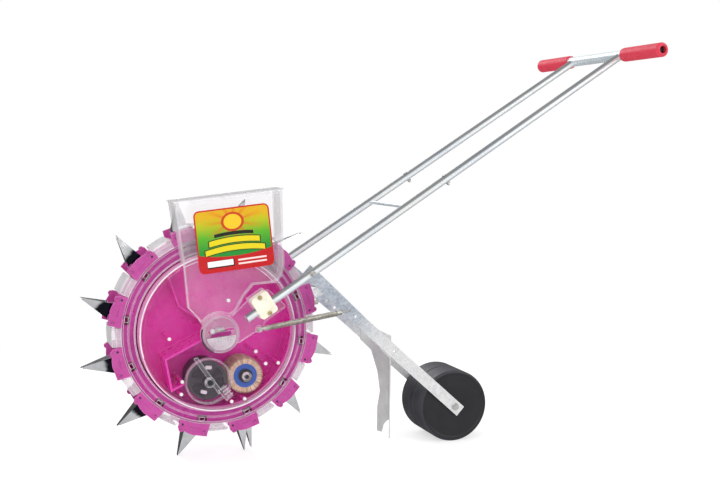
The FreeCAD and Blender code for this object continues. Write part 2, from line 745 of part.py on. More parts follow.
ARM = [(-5, -30), (40, -18), (66, -2), (86, 6), (91, 21), (131, 48), (131, 54), (98, 84), (76, 84),
       (52, 62), (24, 35), (-5, 35)]


CLAMP_LONG = 19  # half the clamp along the tube
CLAMP_TALL = 23.5  # half the clamp square to the tube
CLAMP_LIFT = 4.5  # its middle over the tube's
CLAMP_BORE, CLAMP_HEAD = 2.5, 4.5
CLAMP_NEAR, CLAMP_SEAT, ARM_NEAR, ARM_BACK = -127, -107, -92, -84


def clamp_corners(grow):
    """The clamp's footprint: along the tube and square to it."""
    middle = tube_low + tube_way * 43
    way = Vector(tube_way.x, 0, tube_way.z)
    way.normalize()
    square = Vector(-way.z, 0, way.x)
    spots = []
    for a, b in ((-1, -1), (1, -1), (1, 1), (-1, 1)):
        spot = middle + way * (a * (CLAMP_LONG + grow)) + square * (CLAMP_LIFT + b * (CLAMP_TALL + grow))
        spots.append((spot.x, spot.z))
    return spots


def clamp_screw_spots():
    a, b, c, d = clamp_corners(-5)
    return [((a[0] + b[0]) / 2, (a[1] + b[1]) / 2), ((c[0] + d[0]) / 2, (c[1] + d[1]) / 2)]


def arm_boss():
    """The near hub with the arm that carries a handle tube and a spring anchor."""
    cup = rod(0, 0, 38, ARM_NEAR, -79).cut(rod(0, 0, 34, ARM_NEAR - 1, -82))
    arm = slab(ARM, ARM_NEAR, ARM_BACK).cut(rod(0, 0, 37, -120, 0))
    saddle = slab(clamp_corners(0), CLAMP_SEAT, ARM_BACK)
    post = rod(*ANCHOR, 7, -96, ARM_BACK)
    boss = cup.fuse([arm, saddle, post])
    tools = [rod(0, 0, s.axle_radius, -100, -70), rod(*ANCHOR, ANCHOR_POST, -97, -80)]
    tools += [rod(x, z, CLAMP_BORE, CLAMP_SEAT - 1, -90) for x, z in clamp_screw_spots()]
    return boss.cut(tools)


def tube_shape(radius, share_low, share_high, margin=0.0):
    """A solid round bar along the near handle tube."""
    start = tube_low + tube_line * share_low - tube_way * margin
    length = tube_line.Length * (share_high - share_low) + 2 * margin
    return Part.makeCylinder(radius, length, start, tube_way)


def make_arms():
    near = arm_boss()
    keep_shape("arm_boss_near", near.removeSplitter())
    far = mirrored(near).fuse([rod(0, 0, 20, 58, 81), rod(0, 0, 38, 90, 100)])
    far = far.cut([rod(0, 0, s.axle_radius, 50, 110)])
    keep_shape("arm_boss_far", far.removeSplitter())
    cap = rod(0, 0, 37, -97, -92).cut([
        slab([(-26, 2), (26, 8), (26, 13), (-26, 7)], -98, -90),
        rod(0, 0, 33, -95, -91),
    ])
    keep_shape("hub_cap", cap.removeSplitter())


def make_clamps():
    clamps, screws = [], []
    block_shape = slab(clamp_corners(0), CLAMP_NEAR, CLAMP_SEAT)
    block_shape = block_shape.cut(tube_shape(s.tube_radius.number, 0, 0.3, 10))
    for x, z in clamp_screw_spots():
        block_shape = block_shape.cut(rod(x, z, CLAMP_BORE, CLAMP_NEAR - 1, CLAMP_SEAT + 1))
    upright = [e for e in block_shape.Edges if abs(e.Length - (CLAMP_SEAT - CLAMP_NEAR)) < 0.01]
    outer = [e for e in upright if e.BoundBox.XLength < 0.01 and e.Curve.TypeId == "Part::GeomLine"]
    block_shape = block_shape.makeFillet(6, outer)
    screw_shapes = []
    for x, z in clamp_screw_spots():
        head = rod(x, z, CLAMP_HEAD, CLAMP_NEAR - 2.5, CLAMP_NEAR)
        screw_shapes.append(head.fuse(rod(x, z, CLAMP_BORE, CLAMP_NEAR, ARM_NEAR)))
    for side in (-1, 1):
        clamps.append(across(block_shape, side))
        screws += [across(shape, side) for shape in screw_shapes]
    keep_shape("tube_clamps", Part.makeCompound(clamps))
    keep_shape("clamp_screws", Part.makeCompound(screws))


# ---- the handle ----------------------------------------------------------------------------------

TUBE_BOLT, TUBE_BOLT_HEAD = 2.5, 4.0
JOINT_OVERLAP = 0.075  # the swaged end's length, as a share of the tube's
TIE_SHARE = 0.40


def make_tubes():
    """Each handle tube: a lower length, and an upper one whose swaged end is bolted inside it."""
    radius = s.tube_radius.number
    bore = radius - s.tube_wall.number
    share = s.joint_share.number
    bolt_share = share - 0.035
    pivot = rod(s.pivot_x, s.pivot_z, s.pivot_bolt, -140, 0)
    bar = rod(s.bar_x, s.bar_z, s.bar_radius, -200, 0)
    lower = tube_shape(radius, 0, share)
    bolt_hole = through_tube(bolt_share, TUBE_BOLT, 20, 20)
    lower = lower.cut([tube_shape(bore, 0, share, 5), pivot, bolt_hole])
    upper = tube_shape(radius, share, 1).fuse(tube_shape(bore, share - JOINT_OVERLAP, share))
    inside = tube_shape(bore - s.tube_wall.number, share - JOINT_OVERLAP - 0.015, 1, 20)
    upper = upper.cut([inside, bar, bolt_hole])
    bolt = through_tube(bolt_share, TUBE_BOLT, radius + 1, radius + 6.5)
    bolt = bolt.fuse(through_tube(bolt_share, TUBE_BOLT_HEAD, radius + 2.2, -radius - 0.4))
    bolt = bolt.fuse(through_tube(bolt_share, TUBE_BOLT_HEAD, -radius - 0.4, radius + 4))
    for side, name in ((-1, "near"), (1, "far")):
        keep_shape(f"tube_{name}", across(lower, side))
        keep_shape(f"upper_tube_{name}", across(upper, side))
    keep_shape("tube_bolts", Part.makeCompound([across(bolt, side) for side in (-1, 1)]))
    tie = tube_low + tube_line * TIE_SHARE
    cross = rod(tie.x, tie.z, 3.5, tie.y, -tie.y)
    cross = cross.cut([tube_shape(radius, 0.3, 0.5), mirrored(tube_shape(radius, 0.3, 0.5))])
    keep_shape("tie_bar", max(cross.Solids, key=lambda solid: solid.Volume))


def make_handlebar():
    body = new_body("handlebar")
    sketch = new_sketch(body, "XZ_Plane", -s.bar_half)
    circle(sketch, s.bar_x, s.bar_z, s.bar_radius)
    circle(sketch, s.bar_x, s.bar_z, s.bar_radius - 1.5)
    pad(body, sketch, s.bar_half * 2)
    keep(body, "handlebar")
    for side, name in ((-1, "near"), (1, "far")):
        inner, outer = s.grip_inner * side, s.grip_outer * side
        stop = s.bar_half * side
        grip = turned_body("grip_" + name, [
            (s.bar_radius, inner), (s.grip_radius - 0.5, inner), (s.grip_radius, inner + 4 * side),
            (s.grip_radius, outer - 5 * side), (s.grip_radius - 4, outer), (s.grip_hole, outer),
            (s.grip_hole, stop), (s.bar_radius, stop),
        ])
        spot = Vector(s.drum_x.number + s.bar_x.number, 0, s.drum_z.number + s.bar_z.number)
        keep(grip, "grip_" + name, Placement(spot, Rotation()))


# ---- the press wheel frame -------------------------------------------------------------------------

pivot = Vector(s.pivot_x.number, 0, s.pivot_z.number)
press = Vector(s.press_x.number, 0, s.press_z.number)
leg_line = press - pivot
leg_way = leg_line / leg_line.Length
leg_square = Vector(-leg_way.z, 0, leg_way.x)
LEG_START, LEG_BEND, LEG_UNBEND = -10, 28, 176  # along a leg: its end and the bends of its run inwards
HOOK, SPARE, BLADE_BOLT = 124, 146, 265


def on_leg(along, up=0.0):
    spot = pivot + leg_way * along + leg_square * up
    return spot.x, spot.z


def leg_shape():
    """The near leg: a strip bent inwards between its pivot and the wheel."""
    half = s.leg_wall.number / 2
    top, low = -s.leg_top_y.number, -s.leg_low_y.number
    run = [(LEG_START, top), (LEG_BEND, top), (LEG_UNBEND, low), (leg_line.Length + 17, low)]
    near = [(a, y - half) for a, y in run]
    far = [(a, y + half) for a, y in reversed(run)]
    start = leg_square * (-s.leg_width.number / 2)
    spots = [pivot + leg_way * a + Vector(0, y, 0) + start for a, y in near + far]
    leg = Part.Face(Part.makePolygon(spots + [spots[0]])).extrude(leg_square * s.leg_width.number)
    holes = [rod(*on_leg(a), 3, -130, 0) for a in (HOOK, SPARE, BLADE_BOLT)]
    holes.append(rod(pivot.x, pivot.z, s.pivot_bolt + s.running_gap, -130, 0))
    holes.append(rod(press.x, press.z, s.press_axle, -130, 0))
    return leg.cut(holes)


def blade_shape():
    """The near covering blade: a plate set across the row, with a notched foot and a bolted tab."""
    turn = math.radians(s.blade_turn.number)
    way = Vector(math.sin(turn), math.cos(turn), 0)
    inside = -s.leg_low_y.number + s.leg_wall.number / 2
    origin = Vector(371, inside, 0)
    corners = [(0, -30), (62, -64), (62, -219), (53, -224), (45, -232), (39, -250), (25, -250),
               (25, -197), (33, -160), (24, -118), (0, -70)]
    spots = [origin + way * w + Vector(0, 0, z) for w, z in corners]
    blade = Part.Face(Part.makePolygon(spots + [spots[0]]))
    blade = blade.extrude(Vector(-way.y, way.x, 0) * s.blade_wall.number)
    x, z = on_leg(BLADE_BOLT)
    tab = slab([(345, -12), (371, -24), (371, -75), (345, -50)], inside, inside + 2.5)
    return blade.fuse(tab).cut(rod(x, z, 3, -80, -40)).removeSplitter()


def make_press_frame():
    leg, blade = leg_shape(), blade_shape()
    for side, name in ((-1, "near"), (1, "far")):
        keep_shape(f"leg_{name}", across(leg, side))
        keep_shape(f"coverer_{name}", across(blade, side))
    bolt = rod(pivot.x, pivot.z, s.pivot_bolt, -126, -96)
    heads = [rod(pivot.x, pivot.z, 6, -129, -125), rod(pivot.x, pivot.z, 6, -100.4, -96)]
    bolt = bolt.fuse(heads)
    keep_shape("pivot_bolts", Part.makeCompound([across(bolt, side) for side in (-1, 1)]))
    outer = s.leg_low_y.number + s.leg_wall.number / 2
    axle = rod(press.x, press.z, s.press_axle, -outer, outer)
    heads = [rod(press.x, press.z, 7.5, -outer - 3, -outer), rod(press.x, press.z, 7.5, outer, outer + 3)]
    keep_shape("wheel_axle", axle.fuse(heads).removeSplitter())


def make_press_wheel():
    """Two hollow halves that meet at a groove round the middle."""
    bore = s.press_axle + s.running_gap
    rim, half = s.press_radius, s.press_half
    for side, name in ((-1, "near"), (1, "far")):
        wheel = turned_body("wheel_half_" + name, [
            (bore, half * side), (12, half * side), (12, (half - 1) * side), (66, (half - 1) * side),
            (69, half * side), (rim - 4, half * side), (rim, (half - 5) * side),
            (rim, 1.6 * side), (rim - 2, 0.1 * side), (rim - 4, 0.1 * side), (rim - 4, (half - 7) * side),
            (rim - 8, (half - 4) * side), (11, (half - 4) * side), (11, 0.1 * side), (bore, 0.1 * side),
        ])
        spot = Vector(s.drum_x.number + press.x, 0, s.drum_z.number + press.z)
        keep(wheel, "wheel_half_" + name, Placement(spot, Rotation()))


SPRING_OUTER, SPRING_INNER = 6.2, 4.0


def spring_ends():
    """Where the near tension spring starts at its anchor and ends in the leg."""
    x, z = on_leg(HOOK)
    share = (HOOK - LEG_BEND) / (LEG_UNBEND - LEG_BEND)
    y = -s.leg_top_y.number + (s.leg_top_y.number - s.leg_low_y.number) * share
    return Vector(ANCHOR[0], -SPRING_Y, ANCHOR[1]), Vector(x, y - 5.5, z)


def make_springs():
    """The tension springs, each as the round envelope of its coils with a hook at both ends."""
    start, end = spring_ends()
    line = end - start
    way = line / line.Length
    coil_start, coil_end = start + way * 20, end - way * 28
    length = (coil_end - coil_start).Length
    coil = Part.makeCylinder(SPRING_OUTER, length, coil_start, way)
    coil = coil.cut(Part.makeCylinder(SPRING_INNER, length, coil_start, way))
    cap = Part.makeCylinder(SPRING_INNER + 0.5, 3, coil_start, way)
    cap_end = Part.makeCylinder(SPRING_INNER + 0.5, 3, coil_end - way * 3, way)
    hook = Part.makeCylinder(1.3, 19, start + way * 3, way)
    hook_end = Part.makeCylinder(1.3, 29, coil_end - way, way)
    loop = rod(start.x, start.z, 5.4, -100.3, -97.7).cut(rod(start.x, start.z, 2.8, -101, -97))
    spring = coil.fuse([cap, cap_end, hook, hook_end, loop])
    keep_shape("tension_springs", Part.makeCompound([across(spring, side) for side in (-1, 1)]))
    anchor = rod(*ANCHOR, ANCHOR_POST, -101, -88).fuse(rod(*ANCHOR, 4.6, -104, -101))
    keep_shape("spring_anchors", Part.makeCompound([across(anchor, side) for side in (-1, 1)]))


# ---- seed roller, brush and latch --------------------------------------------------------------------


def make_roller():
    """The seed roller: four seed cells round it and a dished near face."""
    body = new_body("seed_roller")
    face = new_sketch(body, "XZ_Plane", -4)
    circle(face, 0, 0, s.roller_radius)
    circle(face, 0, 0, s.roller_shaft)
    pad(body, face, 66)
    dish = new_sketch(body, "XZ_Plane", 63)
    circle(dish, 0, 0, s.roller_radius - 5)
    circle(dish, 0, 0, s.roller_shaft + 5)
    pocket(body, dish, 4)
    corners = [(-40, -6), (-22, -6), (-22, 6), (-40, 6)]
    cell = outline(new_sketch(body, "YZ_Plane", s.roller_radius - 6), corners)
    ring_of(body, pocket(body, cell, 10, forward=True), 4)
    x, z = s.roller_x.number, s.roller_z.number
    spot = Vector(s.drum_x.number + x, 0, s.drum_z.number + z)
    keep(body, "seed_roller", Placement(spot, Rotation(ANTI, 12)))
    gear = pinion(int(s.roller_teeth.number), s.roller_angle.number, 14, 27)
    gear = gear.fuse(rod(0, 0, s.roller_shaft, -89, 20))
    gear.translate(Vector(x, 0, z))
    keep_shape("roller_gear", gear)
    cup = rod(x, z, 46, -76, -63).cut([rod(x, z, 43.5, -74, -60),
                                       rod(x, z, s.roller_shaft + s.running_gap, -80, -60)])
    keep_shape("roller_cup", cup)


def make_brush():
    """The brush that sweeps surplus seed off the roller: bristles, core, and a geared shaft."""
    x, z = s.brush_x.number, s.brush_z.number
    for label, inside, outside, far in (("brush_bristles", s.brush_core, s.brush_radius, 2),
                                        ("brush_hub", s.brush_shaft, s.brush_core, 4)):
        body = new_body(label)
        ring = new_sketch(body, "XZ_Plane", -far)
        circle(ring, s.brush_x, s.brush_z, outside)
        circle(ring, s.brush_x, s.brush_z, inside)
        pad(body, ring, 66 + far - 4)
        keep(body, label)
    gear = pinion(int(s.brush_teeth.number), s.brush_angle.number, 30, 43)
    gear = gear.fuse([rod(0, 0, s.brush_shaft, -76, 35), rod(0, 0, 14, -65.5, -62)])
    gear.translate(Vector(x, 0, z))
    keep_shape("brush_gear", gear)


def make_latch():
    """The clear lever that holds the roller's cup, with a ribbed thumb piece."""
    x, z = s.roller_x.number, s.roller_z.number
    hub = rod(x, z, 10, -88, -82)
    bar = slab([(x - 32, z + 48), (x - 25, z + 51), (x + 25, z - 19), (x + 18, z - 24)], -86, -82)
    thumb = slab([(x + 17, z - 17), (x + 29, z - 8), (x + 46, z - 28), (x + 33, z - 38)], -89, -82)
    ribs = []
    for k in range(4):
        a, b = x + 21 + 4.2 * k, z - 14 - 5.0 * k
        ribs.append(slab([(a, b), (a + 11, b + 8), (a + 12.2, b + 6.4), (a + 1.2, b - 1.6)], -90.5, -89))
    lever = hub.fuse([bar, thumb] + ribs)
    lever = lever.cut(rod(x, z, s.roller_shaft + s.running_gap, -95, -70))
    keep_shape("latch_lever", lever.removeSplitter())


# ---- the whole machine -------------------------------------------------------------------------------

make_drum()
make_axle()
keep(make_inner_shell(), "inner_shell")
make_front_cover(make_hopper())
make_label()
make_lid()
make_cover_screws()
make_arms()
make_clamps()
make_tubes()
make_handlebar()
make_press_frame()
make_press_wheel()
make_springs()
make_roller()
make_brush()
make_latch()
doc.recompute()

faults = [thing.Label for thing in doc.Objects if {"Invalid", "Error"} & set(thing.State)]
for part_label, part in parts.items():
    if part.Shape.isNull() or not part.Shape.isValid() or not part.Shape.Solids:
        faults.append(part_label)
if faults:
    raise SystemExit("failed: " + ", ".join(sorted(set(faults))))

os.makedirs("parts", exist_ok=True)
for part_label, part in parts.items():
    part.Shape.exportStep(f"parts/{part_label}.step")
print(len(parts), "sub-parts written")
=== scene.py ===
"""Looks of the push seeder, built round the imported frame.

Metres throughout, in the frame of the part: +X to the rear, where the handle is, +Y across, +Z up.
The near side, -Y, has the seed hopper and the housing.
"""

import bpy
import bmesh
import json
import math
import random
from mathutils import Matrix, Vector


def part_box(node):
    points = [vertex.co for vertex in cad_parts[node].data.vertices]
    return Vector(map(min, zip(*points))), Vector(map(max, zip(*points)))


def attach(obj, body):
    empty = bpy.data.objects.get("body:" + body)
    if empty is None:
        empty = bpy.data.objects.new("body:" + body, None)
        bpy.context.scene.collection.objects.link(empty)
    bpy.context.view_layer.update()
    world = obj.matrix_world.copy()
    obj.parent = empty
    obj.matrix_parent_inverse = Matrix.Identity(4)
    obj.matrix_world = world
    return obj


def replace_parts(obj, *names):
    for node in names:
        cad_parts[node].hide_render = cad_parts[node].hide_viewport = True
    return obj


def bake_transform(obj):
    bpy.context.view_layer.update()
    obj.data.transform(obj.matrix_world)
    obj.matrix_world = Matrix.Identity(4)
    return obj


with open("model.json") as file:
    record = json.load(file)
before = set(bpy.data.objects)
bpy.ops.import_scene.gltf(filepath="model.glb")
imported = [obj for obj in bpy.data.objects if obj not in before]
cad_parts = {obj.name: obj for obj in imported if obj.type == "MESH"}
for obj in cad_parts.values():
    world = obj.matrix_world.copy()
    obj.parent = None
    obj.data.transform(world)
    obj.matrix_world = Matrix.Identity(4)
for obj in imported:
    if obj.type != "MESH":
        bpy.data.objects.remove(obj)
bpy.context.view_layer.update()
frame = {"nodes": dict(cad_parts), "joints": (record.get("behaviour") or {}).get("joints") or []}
nodes = frame["nodes"]
joints = {joint["name"]: joint for joint in frame["joints"]}

MM = 0.001
DRUM = Vector(joints["drum_spin"]["pos_m"])
ROLLER = Vector(joints["roller_spin"]["pos_m"])
BRUSH = Vector(joints["brush_spin"]["pos_m"])
PIVOT = Vector(joints["press_frame_swing"]["pos_m"])
PRESS = Vector(joints["press_wheel_spin"]["pos_m"])
LEG_WAY = Vector((PRESS.x - PIVOT.x, 0, PRESS.z - PIVOT.z)).normalized()
HOPPER_TILT = math.radians(6.73)
TUBE_SLOPE = math.radians(33.09)
BEAKS = 12
BEAK_ANGLES = [135.0 + 360.0 / BEAKS * k for k in range(BEAKS)]


# ---- materials ------------------------------------------------------------------------------------


class Paint:
    """One procedural material: a Principled shader and the nodes that feed it.

    Patterns lie in object coordinates, in metres, so they keep their size on every piece.
    """

    def __init__(self, name, **settings):
        self.material = bpy.data.materials.new(name)
        self.material.use_nodes = True
        self.tree = self.material.node_tree
        self.tree.nodes.clear()
        self.output = self.node("ShaderNodeOutputMaterial")
        self.shader = self.node("ShaderNodeBsdfPrincipled")
        self.join(self.shader.outputs[0], self.output.inputs["Surface"])
        self.place = self.node("ShaderNodeTexCoord").outputs["Object"]
        self.set(**settings)

    def node(self, kind, **settings):
        made = self.tree.nodes.new(kind)
        for key, value in settings.items():
            setattr(made, key, value)
        return made

    def join(self, source, target):
        self.tree.links.new(source, target)

    def feed(self, socket, value):
        """Puts a number, a colour or another node's output into a socket."""
        if isinstance(value, bpy.types.NodeSocket):
            self.join(value, socket)
        elif isinstance(value, (tuple, list)) and len(value) == 3 and socket.type == "RGBA":
            socket.default_value = (*value, 1.0)
        else:
            socket.default_value = value

    def set(self, **settings):
        for key, value in settings.items():
            self.feed(self.shader.inputs[key.replace("_", " ")], value)

    def stretched(self, scale):
        """Object coordinates stretched along the axes."""
        mapping = self.node("ShaderNodeMapping")
        self.join(self.place, mapping.inputs["Vector"])
        mapping.inputs["Scale"].default_value = scale
        return mapping.outputs[0]

    def noise(self, scale, detail=3.0, roughness=0.5, stretch=None):
        made = self.node("ShaderNodeTexNoise")
        self.join(self.stretched(stretch) if stretch else self.place, made.inputs["Vector"])
        for key, value in (("Scale", scale), ("Detail", detail), ("Roughness", roughness)):
            made.inputs[key].default_value = value
        return made.outputs[0]

    def spangles(self, scale):
        """A grey of its own for each cell of a random mosaic."""
        mosaic = self.node("ShaderNodeTexVoronoi")
        self.join(self.place, mosaic.inputs["Vector"])
        mosaic.inputs["Scale"].default_value = scale
        grey = self.node("ShaderNodeSeparateColor")
        self.join(mosaic.outputs["Color"], grey.inputs[0])
        return grey.outputs[0]

    def math(self, operation, first, second=0.0):
        made = self.node("ShaderNodeMath", operation=operation)
        self.feed(made.inputs[0], first)
        self.feed(made.inputs[1], second)
        return made.outputs[0]

    def times(self, first, second):
        return self.math("MULTIPLY", first, second)

    def plus(self, first, second):
        return self.math("ADD", first, second)

    def reach(self, across, up):
        """The length of the vector with those two parts."""
        return self.math("POWER", self.plus(self.times(across, across), self.times(up, up)), 0.5)

    def axes(self, vector):
        """The X, Y and Z outputs of a vector."""
        made = self.node("ShaderNodeSeparateXYZ")
        self.join(vector, made.inputs[0])
        return made.outputs

    def vector_math(self, operation, vector, other):
        made = self.node("ShaderNodeVectorMath", operation=operation)
        self.join(vector, made.inputs[0])
        made.inputs[1].default_value = other
        return made.outputs

    def away_from(self, spot):
        """Where the surface is, seen from a fixed point."""
        return self.vector_math("SUBTRACT", self.place, spot)[0]

    def normal(self):
        return self.node("ShaderNodeNewGeometry").outputs["Normal"]

    def rotated(self, vector, angle):
        """A vector turned about Y."""
        made = self.node("ShaderNodeVectorRotate", rotation_type="Y_AXIS")
        made.inputs["Angle"].default_value = angle
        self.join(vector, made.inputs["Vector"])
        return made.outputs[0]

    def mixed(self, share, first, second):
        """Two shaders mixed by a share of the second."""
        made = self.node("ShaderNodeMixShader")
        for socket, source in zip(made.inputs, (share, first, second)):
            self.join(source, socket)
        return made.outputs[0]

    def ramp(self, value, *stops):
        """A colour or grey ramp: each stop is a position and a colour or a number."""
        made = self.node("ShaderNodeValToRGB")
        elements = made.color_ramp.elements
        while len(elements) < len(stops):
            elements.new(0.5)
        for element, (position, colour) in zip(elements, stops):
            element.position = position
            colour = (colour,) * 3 if isinstance(colour, (int, float)) else colour
            element.color = (*colour, 1.0)
        self.join(value, made.inputs[0])
        return made.outputs[0]

    def blend(self, share, first, second, blend_type="MIX"):
        made = self.node("ShaderNodeMix", data_type="RGBA", blend_type=blend_type)
        self.feed(made.inputs["Factor"], share)
        self.feed(made.inputs[6], first)
        self.feed(made.inputs[7], second)
        return made.outputs[2]

    def bump(self, height, depth, strength=1.0):
        """Relief of that depth, in metres, on the shader's normal. Later calls add to earlier ones."""
        made = self.node("ShaderNodeBump")
        self.join(height, made.inputs["Height"])
        made.inputs["Distance"].default_value = depth
        made.inputs["Strength"].default_value = strength
        normal = self.shader.inputs["Normal"]
        if normal.is_linked:
            self.join(normal.links[0].from_socket, made.inputs["Normal"])
        self.join(made.outputs[0], normal)
        return self

    def edge_mask(self, radius):
        """1 within the radius of an edge or corner, and 0 on the faces away from them."""
        soft = self.node("ShaderNodeBevel", samples=6)
        soft.inputs["Radius"].default_value = radius
        dot = self.node("ShaderNodeVectorMath", operation="DOT_PRODUCT")
        self.join(soft.outputs[0], dot.inputs[0])
        self.join(self.normal(), dot.inputs[1])
        return self.ramp(self.math("ABSOLUTE", dot.outputs["Value"]), (0.80, 1.0), (0.995, 0.0))


def root_shade(paint):
    """1 on the near panels of the front beaks, close to their seats, where they mirror the dark drum."""
    x, _, z = paint.axes(paint.away_from(DRUM))
    wavy = paint.plus(paint.reach(x, z), paint.times(paint.noise(30.0, 2.0), 0.05))
    root = paint.ramp(paint.math("SUBTRACT", wavy, 0.2), (0.052, 1.0), (0.060, 0.0))
    front = paint.math("LESS_THAN", x, -0.115)
    near = paint.math("LESS_THAN", paint.axes(paint.normal())[1], -0.30)
    return paint.times(paint.times(root, front), near)


def glossy_magenta(name, colour, deep, roughness, glow, pale=0.6):
    """Moulded plastic that light seeps through: cloudy colour, flow marks, grain, pale edges that are a
    painted highlight, and a faint painted glow.
    """
    # Emission_Strength=glow is painted light: the plastic glows faintly in its own colour, though it is
    # no lamp.
    paint = Paint(name, IOR=1.5, Coat_Weight=0.25, Coat_Roughness=0.12, Subsurface_Weight=0.12,
                  Subsurface_Radius=(0.006, 0.002, 0.004), Subsurface_Scale=1.0,
                  Emission_Color=colour, Emission_Strength=glow)
    cloud = paint.noise(9.0, 4.0, 0.55)
    body = paint.blend(paint.ramp(cloud, (0.35, 0.0), (0.7, 1.0)), colour, deep)
    flow = paint.ramp(paint.noise(60.0, 5.0, 0.6, stretch=(1.0, 0.25, 1.0)), (0.3, 0.0), (0.75, 1.0))
    body = paint.blend(paint.times(flow, 0.12), body, (0.9, 0.35, 0.7))
    # painted highlight: the edges are blended towards pale pink, by the share pale
    edge_highlight = paint.times(paint.edge_mask(0.0012), pale)
    paint.set(Base_Color=paint.blend(edge_highlight, body, (0.95, 0.5, 0.82)))
    grain = paint.noise(900.0, 2.0)
    paint.set(Roughness=paint.ramp(paint.noise(35.0, 4.0), (0.3, roughness), (0.75, roughness + 0.16)))
    return paint.bump(grain, 0.00003).bump(paint.noise(25.0, 2.0), 0.0003, 0.5).material


def clear_plastic(name, haze, edge, tint=(0.985, 0.95, 0.98), white=(0.93, 0.90, 0.95), roughness=0.05,
                  band=0.0014, shine=0.03):
    """See-through plastic: a tinted window with a little mirror in it, and a milky white share of real
    haze and painted highlight. Both grow where the surface turns away, and the painted highlight also
    along the edges of the shape."""
    paint = Paint(name, Base_Color=white, Roughness=0.22, IOR=1.5)
    window = paint.node("ShaderNodeBsdfTransparent")
    window.inputs[0].default_value = (*tint, 1.0)
    mirror = paint.node("ShaderNodeBsdfAnisotropic")
    mirror.inputs["Color"].default_value = (1.0, 1.0, 1.0, 1.0)
    mirror.inputs["Roughness"].default_value = roughness
    turn = paint.node("ShaderNodeLayerWeight")
    turn.inputs["Blend"].default_value = 0.5
    slant = turn.outputs["Facing"]
    mirrored = paint.plus(paint.times(paint.math("POWER", slant, 4.0), 0.55), shine)
    glass = paint.mixed(mirrored, window.outputs[0], mirror.outputs[0])
    # painted highlight: white where the surface turns away from the view (rim) and along its edges
    # (corner), scaled by edge
    rim = paint.times(paint.math("POWER", slant, 3.5), edge)
    corner = paint.times(paint.edge_mask(band), edge)
    streak = paint.ramp(paint.noise(26.0, 5.0, 0.6), (0.35, 0.6), (0.75, 1.5))
    # real haze from the streak noise, plus the painted highlight
    haze_and_highlight = paint.plus(paint.times(streak, haze), paint.math("MAXIMUM", rim, corner))
    surface = paint.mixed(paint.math("MINIMUM", haze_and_highlight, 0.92), glass, paint.shader.outputs[0])
    paint.join(surface, paint.output.inputs["Surface"])
    paint.bump(paint.noise(14.0, 3.0), 0.0012, 0.35)
    paint.join(paint.shader.inputs["Normal"].links[0].from_socket, mirror.inputs["Normal"])
    return paint.material


def polished_steel(name):
    """Bright folded stainless sheet with smears, hairline scratches and soft dents."""
    paint = Paint(name, Metallic=1.0)
    smear = paint.noise(22.0, 5.0, 0.6)
    bright = paint.ramp(smear, (0.3, (0.66, 0.67, 0.70)), (0.7, (0.90, 0.91, 0.93)))
    # painted reflection: near black on the front beaks' near panels, where they mirror the dark drum
    paint.set(Base_Color=paint.blend(root_shade(paint), bright, (0.012, 0.012, 0.02)))
    scratch = paint.noise(380.0, 3.0, 0.6, stretch=(1.0, 12.0, 1.0))
    paint.set(Roughness=paint.ramp(paint.noise(50.0, 4.0), (0.3, 0.10), (0.8, 0.26)))
    return paint.bump(scratch, 0.00004).bump(paint.noise(45.0, 2.0), 0.0011, 0.5).material


def zinc_tube(name, colour, slope, metal=1.0, dull=0.17, streaks_and_light_bands=()):
    """Bright zinc over drawn steel tube, at that slope: bluish and yellowish patches, and draw lines.
    The light bands are a painted reflection: stops of brightness from a tube's lowest line (0)
    to its highest (1)."""
    paint = Paint(name, Metallic=metal)
    paint.place = paint.rotated(paint.place, slope)
    lighter = tuple(min(1.0, c * 1.15) for c in colour)
    body = paint.ramp(paint.noise(12.0, 3.0, 0.5), (0.35, colour), (0.7, lighter))
    tint = paint.ramp(paint.noise(5.0, 2.0), (0.4, (0.90, 0.95, 1.0)), (0.65, (1.0, 0.99, 0.94)))
    body = paint.blend(0.6, body, tint, "MULTIPLY")
    # painted reflection: brightness set by which way the surface faces across the tube
    if streaks_and_light_bands:
        square = (-math.sin(slope), 0.0, math.cos(slope))
        rise = paint.vector_math("DOT_PRODUCT", paint.normal(), square)["Value"]
        height = paint.plus(paint.times(rise, 0.5), 0.5)
        body = paint.blend(1.0, body, paint.ramp(height, *streaks_and_light_bands), "MULTIPLY")
    paint.set(Base_Color=body)
    lines = paint.noise(700.0, 3.0, 0.6, stretch=(0.02, 1.0, 1.0))
    paint.set(Roughness=paint.ramp(lines, (0.3, dull), (0.75, dull + 0.11)))
    return paint.bump(lines, 0.00002).material


def galvanised(name, dark, light, metal, share):
    """Hot-dip galvanised strip: small spangles of slightly different grey, with a dull bloom."""
    paint = Paint(name, Metallic=metal)
    tone = paint.plus(paint.times(paint.spangles(260.0), share),
                      paint.times(paint.noise(30.0, 5.0, 0.6), 1.0 - share))
    paint.set(Base_Color=paint.ramp(tone, (0.3, dark), (0.7, light)))
    paint.set(Roughness=paint.ramp(paint.noise(70.0, 4.0), (0.3, 0.34), (0.75, 0.52)))
    return paint.bump(tone, 0.00005).bump(paint.noise(14.0, 2.0), 0.0006, 0.3).material


